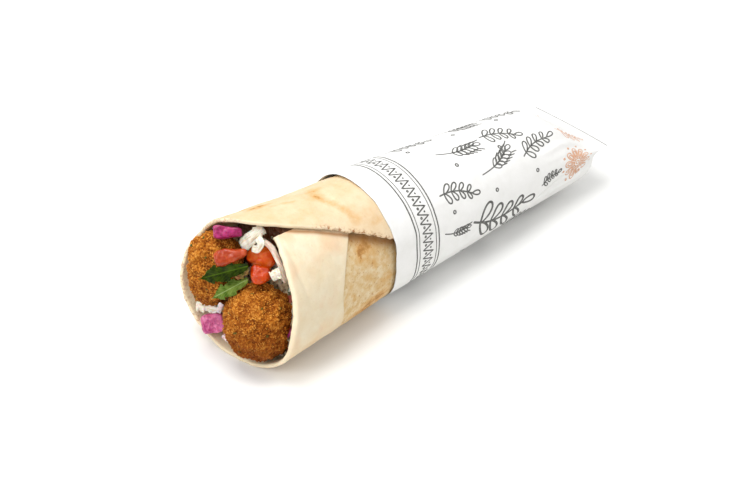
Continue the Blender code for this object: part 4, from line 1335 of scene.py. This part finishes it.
def sleeve_hug(angle, station):
    """Past the flap's edge, the paper sinks towards the layer below, most at the mouth."""
    turn = angle % 360.0
    fade = 1.0 - ease((station - SLEEVE_MOUTH) / HUG_REACH)
    low, high = HUG_ANGLES
    return layer_inset(turn) * ease((turn - low) / (high - low)) * fade * HUG_SHARE


def paper_creases(angle, station):
    """Handling marks in the paper: long shallow flats, and gathers that run to the pinch."""
    turn = math.radians(angle)
    ring = Vector((CREASE_RING * math.sin(turn), CREASE_RING * math.cos(turn), 0.0))
    long = noise.noise(Vector((ring.x / 0.013, ring.y / 0.013, station / 0.070)))
    short = noise.noise(Vector((ring.x / 0.008, ring.y / 0.008, station / 0.014 + 4.0)))
    fold = abs(noise.noise(Vector((ring.x / 0.010, ring.y / 0.010, station / 0.034 + 9.0))))
    top = ease((math.cos(turn) + 0.75) / 0.5)
    body = (LONG_CREASE * long + SHORT_CREASE * short + FOLD * (0.35 - fold)) * top
    body *= ease((station - 0.072) / 0.020)
    gather = ease((station - 0.176) / 0.024) * (1.0 - ease((station - 0.222) / 0.014))
    pleat = noise.noise(Vector((ring.x / 0.0058, ring.y / 0.0058, station / 0.060 + 2.0)))
    return body + PLEAT * pleat * gather * top


def paper_stand(turns):
    """How far the sheet stands off, by the angle back from its outer edge: less where it lies under
    the overlap, a little more where the free edge lifts."""
    under = 1.0 - ease((turns + 362.0) / 55.0)
    return EDGE_LIFT * ease((turns + 7.0) / 7.0) - UNDER_OVERLAP * under


def straight_tongue(turns):
    """Just below the outer edge, the inner layer isn't drawn into the pinch: it runs on straight."""
    return ease((turns + 364.0) / 9.0) * (1.0 - ease((turns + 338.0) / 22.0))


def paper_point(angle, station, stand=0.0, tongue=0.0):
    """The paper's outside: the roll's form, then the pinch that flattens it to the tail's edge."""
    loose = mix(MOUTH_GAP, CLEARANCE + PAPER_THICKNESS, ease((station - SLEEVE_MOUTH) / MOUTH_RUN))
    loose += sleeve_looseness(angle, station) - sleeve_hug(angle, station)
    creases = max(-DEEPEST_CREASE, paper_creases(angle, station))
    tongue *= 1.0 - ease((station - (TONGUE_END - TONGUE_FADE)) / TONGUE_FADE)
    body = roll_point(angle, min(station, PINCH_START), -loose - stand - creases)
    turn = math.radians(angle)
    start = mix(UNDERSIDE_PINCH_START, PINCH_START, (1.0 + math.cos(turn)) / 2)
    start = mix(start, TONGUE_END, tongue)
    pinch = ease((station - start) / (WRAP_LENGTH - start))
    lens = math.cos(turn) * mix(1.0, abs(math.cos(turn)), pinch)
    tail_height = TAIL_HEIGHT + (TAIL_HALF_THICKNESS + stand) * lens
    tail = spot(station, -TAIL_HALF_WIDTH * math.sin(turn), tail_height)
    point = body.lerp(tail, pinch)
    point.x = tail.x
    point.z = max(point.z, PAPER_GROUND)
    return point


def paper_place(column, row, side):
    """A point of the sheet, whose columns count from its inner edge round to its outer one."""
    share, back = column / SLEEVE_COLUMNS, row / SLEEVE_ROWS
    station = mix(SLEEVE_MOUTH, WRAP_LENGTH, back)
    seam = seam_angle(station)
    turns = (360.0 + OVERLAP) * (share - 1.0)
    angle = seam + turns
    mouth = 1.0 - ease(back / MOUTH_CUT_SHARE)
    station += mouth * sum(depth * grain(size, arc(angle), shift, 0.0) for depth, size, shift in MOUTH_CUT)
    tongue = straight_tongue(turns)
    point = paper_point(angle, station, paper_stand(turns) - SHEET / 2 * (1 - side), tongue)
    return point, (arc(angle) * FLAT_MAP_SCALE, station * FLAT_MAP_SCALE), ()


def add_paper_finish():
    """White greaseproof paper: smooth, slightly see-through and faintly glazed, soft grey creases."""
    finish, tree, shader = new_material(
        "white greaseproof paper", Roughness=0.48, Specular_IOR_Level=0.4, Sheen_Weight=0.05)
    place = add_node(tree, "ShaderNodeTexCoord").outputs["Object"]
    # Pulp cloudiness over 6 mm, fibre at 0.7 mm
    cloud = add_node(tree, "ShaderNodeTexNoise", {
        "Vector": place, "Scale": 1000 / 6, "Detail": 4.0, "Roughness": 0.6})
    share = add_node(tree, "ShaderNodeMapRange", {
        "Value": cloud.outputs["Fac"], "From Min": 0.3, "From Max": 0.7}).outputs[0]
    tone = add_node(tree, "ShaderNodeMix", {
        0: share, 6: linear("#E9E8E5"), 7: linear("#EFEEEC")}, data_type="RGBA").outputs[2]
    tree.links.new(tone, shader.inputs["Base Color"])
    fibre = add_node(tree, "ShaderNodeTexNoise", {"Vector": place, "Scale": 1000 / 0.7, "Detail": 3.0})
    bump = add_node(tree, "ShaderNodeBump", {
        "Height": cloud.outputs["Fac"], "Strength": 0.20, "Distance": 0.0006})
    bump = add_node(tree, "ShaderNodeBump", {
        "Height": fibre.outputs["Fac"], "Strength": 0.06, "Distance": 0.0002, "Normal": bump.outputs[0]})
    tree.links.new(bump.outputs[0], shader.inputs["Normal"])
    return finish


paper_mesh = sheet_mesh("paper_sleeve_sheet", SLEEVE_COLUMNS, SLEEVE_ROWS, paper_place)
add_piece("paper_sleeve_sheet", paper_mesh, add_paper_finish(), "paper", "paper_sleeve")

# Print on the sleeve
#
# A plain kitchen pattern in one grey ink, with a rosette in pale terracotta near the tail: a zigzag
# border, leaf sprigs and ears of wheat. It is printed, so each line is a film that follows the paper.

INK_FILM = 0.00005
FINE_LINE = 0.0008
BOLD_LINE = 0.0015
# The longest step along a line, and the width of a line's ends as a share of its own
INK_STEP = 0.0009
LINE_END = 0.55
# The border's lines, as (station, width), and one tooth of its zigzag, as (angle, station)
BORDER = [(0.0895, FINE_LINE), (0.0915, FINE_LINE * 0.6), (0.1030, FINE_LINE * 0.6), (0.1050, FINE_LINE)]
TOOTH = [(0.0, 0.0937), (2.25, 0.09725), (4.5, 0.1008), (6.75, 0.09725), (9.0, 0.0937)]
TEETH = 40
# The motifs' half-drop grid: each column's angle and first station, the step from row to row, the last
# station that a motif may start at, and how the motifs are turned in their order
GRID = [(48.0, 0.1120), (8.0, 0.1270), (-32.0, 0.1120), (-72.0, 0.1270), (-112.0, 0.1120), (-152.0, 0.1270),
        (168.0, 0.1120), (128.0, 0.1270)]
ROW_STEP = 0.032
LAST_START = 0.185
MOTIF_TURNS = (16.0, -12.0, 8.0, -18.0, 14.0)
# Motifs out of the grid, with one bold sprig: kind, angle, station, turn and scale
FREE_MOTIFS = [
    ("bold", 88.0, 0.1300, 7.0, 1.15),
    ("sprig", 90.0, 0.1840, -14.0, 0.55),
    ("ear", 84.0, 0.1090, 10.0, 0.62),
]
# Dots in and between the teeth: radius, angle, station and share of the fine line
BORDER_DOTS = [(0.00045, 4.5, 0.0957, 0.8), (0.00030, 9.0, 0.0990, 0.6)]
# A dot beside each motif of the grid: radius, angle and distance back from the motif's start
MOTIF_DOT = (0.0008, 20.0, 0.0060)
MOTIF_SCALE = 0.92


def paper_at(angle, station, above):
    """A point on the printed face, and where the sheet really lies there, under or over its edge."""
    turns = (angle - seam_angle(station)) % 360.0 - 360.0
    return paper_point(angle, station, paper_stand(turns) + above, 0.0)


def placed(points, angle, station, turn, scale=1.0):
    """Put a motif on the sleeve: from metres on flat paper to (angle, station) pairs."""
    away = math.radians(turn)
    radius = (half_width_at(station) + half_height_at(station)) / 2
    made = []
    for forward, aside in points:
        back = scale * (forward * math.cos(away) - aside * math.sin(away))
        around = scale * (forward * math.sin(away) + aside * math.cos(away))
        made.append((angle + math.degrees(around / radius), station + back))
    return made


def leaf_loop(forward, aside, turn, length, width):
    """The outline of a pointed leaf that grows from a point."""
    away, loop = math.radians(turn), []
    for step in range(25):
        swing = 2.0 * math.pi * step / 24
        along_leaf = length * (1.0 - math.cos(swing)) / 2
        across = width / 2 * math.sin(swing) * (1.0 - 0.35 * math.cos(swing))
        loop.append((forward + along_leaf * math.cos(away) - across * math.sin(away),
                     aside + along_leaf * math.sin(away) + across * math.cos(away)))
    return loop


def ring_loop(radius, forward=0.0, aside=0.0):
    return [(forward + radius * math.cos(math.pi * step / 12), aside + radius * math.sin(math.pi * step / 12))
            for step in range(25)]


def stem_bend(share, length, sag):
    return length * share, sag * math.sin(math.pi * share)


def leaf_sprig(length, pairs, leaf, sag):
    """A bent stem with pairs of leaves and one at its tip."""
    lines = [[stem_bend(step / 16, length, sag) for step in range(17)]]
    for pair in range(pairs):
        forward, aside = stem_bend((pair + 0.7) / (pairs + 0.4), length, sag)
        size = leaf * (1.0 - 0.10 * pair)
        lines.append(leaf_loop(forward, aside, 52.0, size, size * 0.42))
        lines.append(leaf_loop(forward, aside, -52.0, size, size * 0.42))
    lines.append(leaf_loop(*stem_bend(1.0, length, sag), -4.0, leaf * 0.8, leaf * 0.34))
    return lines


def wheat_ear(length, pairs, grain_length, sag):
    """A stalk with two rows of grains and their beards."""
    lines = [[stem_bend(step / 16, length, sag) for step in range(17)]]
    for pair in range(pairs):
        forward, aside = stem_bend(0.42 + 0.58 * pair / pairs, length, sag)
        for way in (1, -1):
            lines.append(leaf_loop(forward, aside, way * 30.0, grain_length, grain_length * 0.42))
            tip = (forward + grain_length * 0.87, aside + way * grain_length * 0.5)
            lines.append([tip, (tip[0] + grain_length * 0.8, tip[1] + way * grain_length * 0.25)])
    lines.append(leaf_loop(*stem_bend(1.0, length, sag), 0.0, grain_length, grain_length * 0.42))
    return lines


def rosette(radius):
    """Petals round a ring, with a row of dots outside them."""
    lines = [ring_loop(radius * 0.22), ring_loop(radius * 0.10)]
    for petal in range(10):
        turn = math.radians(36.0 * petal)
        lines.append(leaf_loop(radius * 0.26 * math.cos(turn), radius * 0.26 * math.sin(turn), 36.0 * petal,
                               radius * 0.58, radius * 0.26))
        between = turn + 0.31
        lines.append(ring_loop(
            radius * 0.035, radius * 0.97 * math.cos(between), radius * 0.97 * math.sin(between)))
        lines.append(leaf_loop(radius * 0.36 * math.cos(turn), radius * 0.36 * math.sin(turn), 36.0 * petal,
                               radius * 0.34, radius * 0.12))
    return lines


def ink_lines():
    """Every line of the print as (points, width, ink)."""
    lines = [([(step * 1.5, station) for step in range(241)], width, "grey") for station, width in BORDER]
    for tooth in range(TEETH):
        angle = 360.0 / TEETH * tooth
        lines.append(([(angle + turn, station) for turn, station in TOOTH], FINE_LINE, "grey"))
        for radius, turn, station, share in BORDER_DOTS:
            dot = placed(ring_loop(radius), angle + turn, station, 0.0)
            lines.append((dot, FINE_LINE * share, "grey"))
    motifs = FREE_MOTIFS[:]
    radius, aside, behind = MOTIF_DOT
    for column, (middle, first) in enumerate(GRID):
        for row in range(3):
            station = first + row * ROW_STEP
            if station < LAST_START:
                kind = "ear" if (column + row) % 2 else "sprig"
                turn = MOTIF_TURNS[(column * 2 + row * 3) % len(MOTIF_TURNS)]
                motifs.append((kind, middle, station, turn, MOTIF_SCALE))
                dot = placed(ring_loop(radius), middle + aside, station + behind, 0.0)
                lines.append((dot, FINE_LINE, "grey"))
    for kind, angle, station, turn, scale in motifs:
        if kind == "ear":
            made, width = wheat_ear(length=0.026, pairs=5, grain_length=0.0056, sag=0.0020), FINE_LINE * 0.9
        elif kind == "bold":
            made, width = leaf_sprig(length=0.034, pairs=4, leaf=0.0105, sag=0.0040), BOLD_LINE
        else:
            made, width = leaf_sprig(length=0.024, pairs=4, leaf=0.0068, sag=-0.0022), FINE_LINE * 1.1
        lines += [(placed(line, angle, station, turn, scale), width, "grey") for line in made]
    for line in rosette(radius=0.0115):
        lines.append((placed(line, angle=84.0, station=0.2125, turn=12.0), FINE_LINE, "terracotta"))
    for line in leaf_sprig(length=0.016, pairs=3, leaf=0.0055, sag=0.0012):
        lines.append((placed(line, angle=28.0, station=0.2080, turn=12.0), FINE_LINE, "terracotta"))
        lines.append((placed(line, angle=-28.0, station=0.2080, turn=-14.0), FINE_LINE, "terracotta"))
    return lines


def ink_mesh(name, lines):
    """Flat ribbons along the lines, on the paper's face, a little narrower at their ends."""
    points, faces = [], []
    for line, width in lines:
        flat = [(arc(angle), station) for angle, station in line]
        path = [flat[0]]
        for start, end in zip(flat, flat[1:]):
            steps = max(1, math.ceil(math.dist(start, end) / INK_STEP))
            for step in range(1, steps + 1):
                path.append((mix(start[0], end[0], step / steps), mix(start[1], end[1], step / steps)))
        closed = math.dist(path[0], path[-1]) < 1e-6
        first = len(points)
        for number, (around, station) in enumerate(path):
            before = path[number - 1] if number else (path[-2] if closed else path[0])
            after = path[number + 1] if number + 1 < len(path) else (path[1] if closed else path[-1])
            run = (after[0] - before[0], after[1] - before[1])
            size = math.hypot(*run) or 1.0
            side = (-run[1] / size * width / 2, run[0] / size * width / 2)
            if not closed and number in (0, len(path) - 1):
                side = (side[0] * LINE_END, side[1] * LINE_END)
            for way in (1, -1):
                angle = math.degrees((around + way * side[0]) / MIDDLE_RADIUS)
                points.append(paper_at(angle, station + way * side[1], INK_FILM))
        for number in range(len(path) - 1):
            low = first + number * 2
            faces.append((low, low + 1, low + 3, low + 2))
    mesh = bpy.data.meshes.new(name)
    mesh.from_pydata(points, [], faces)
    mesh.shade_smooth()
    film = bpy.data.objects.new(name, mesh)
    bpy.context.scene.collection.objects.link(film)
    wall = film.modifiers.new("film", "SOLIDIFY")
    wall.thickness = INK_FILM * 0.8
    wall.offset = -1.0
    bpy.context.view_layer.update()
    made = bpy.data.meshes.new_from_object(film.evaluated_get(bpy.context.evaluated_depsgraph_get()))
    bpy.data.objects.remove(film)
    return made


def add_ink_finish(name, full, thin):
    """Water-based ink on paper: matt, and a little uneven where the plate pressed less."""
    finish, tree, shader = new_material(name, Roughness=0.6, Specular_IOR_Level=0.3)
    place = add_node(tree, "ShaderNodeTexCoord").outputs["Object"]
    uneven = add_node(tree, "ShaderNodeTexNoise", {"Vector": place, "Scale": 1000 / 1.5, "Detail": 4.0})
    share = add_node(tree, "ShaderNodeMapRange", {
        "Value": uneven.outputs["Fac"], "From Min": 0.40, "From Max": 0.68}).outputs[0]
    tone = add_node(tree, "ShaderNodeMix", {
        0: share, 6: linear(full), 7: linear(thin)}, data_type="RGBA").outputs[2]
    tree.links.new(tone, shader.inputs["Base Color"])
    return finish


inks = {
    "grey": add_ink_finish("grey water-based ink", "#565653", "#767673"),
    "terracotta": add_ink_finish("terracotta water-based ink", "#DAA686", "#E2BEA6"),
}
printed = ink_lines()
for ink, finish in inks.items():
    mesh = ink_mesh(
        "sleeve_print_" + ink, [(line, width) for line, width, colour in printed if colour == ink])
    add_piece("sleeve_print_" + ink, mesh, finish, "paper")
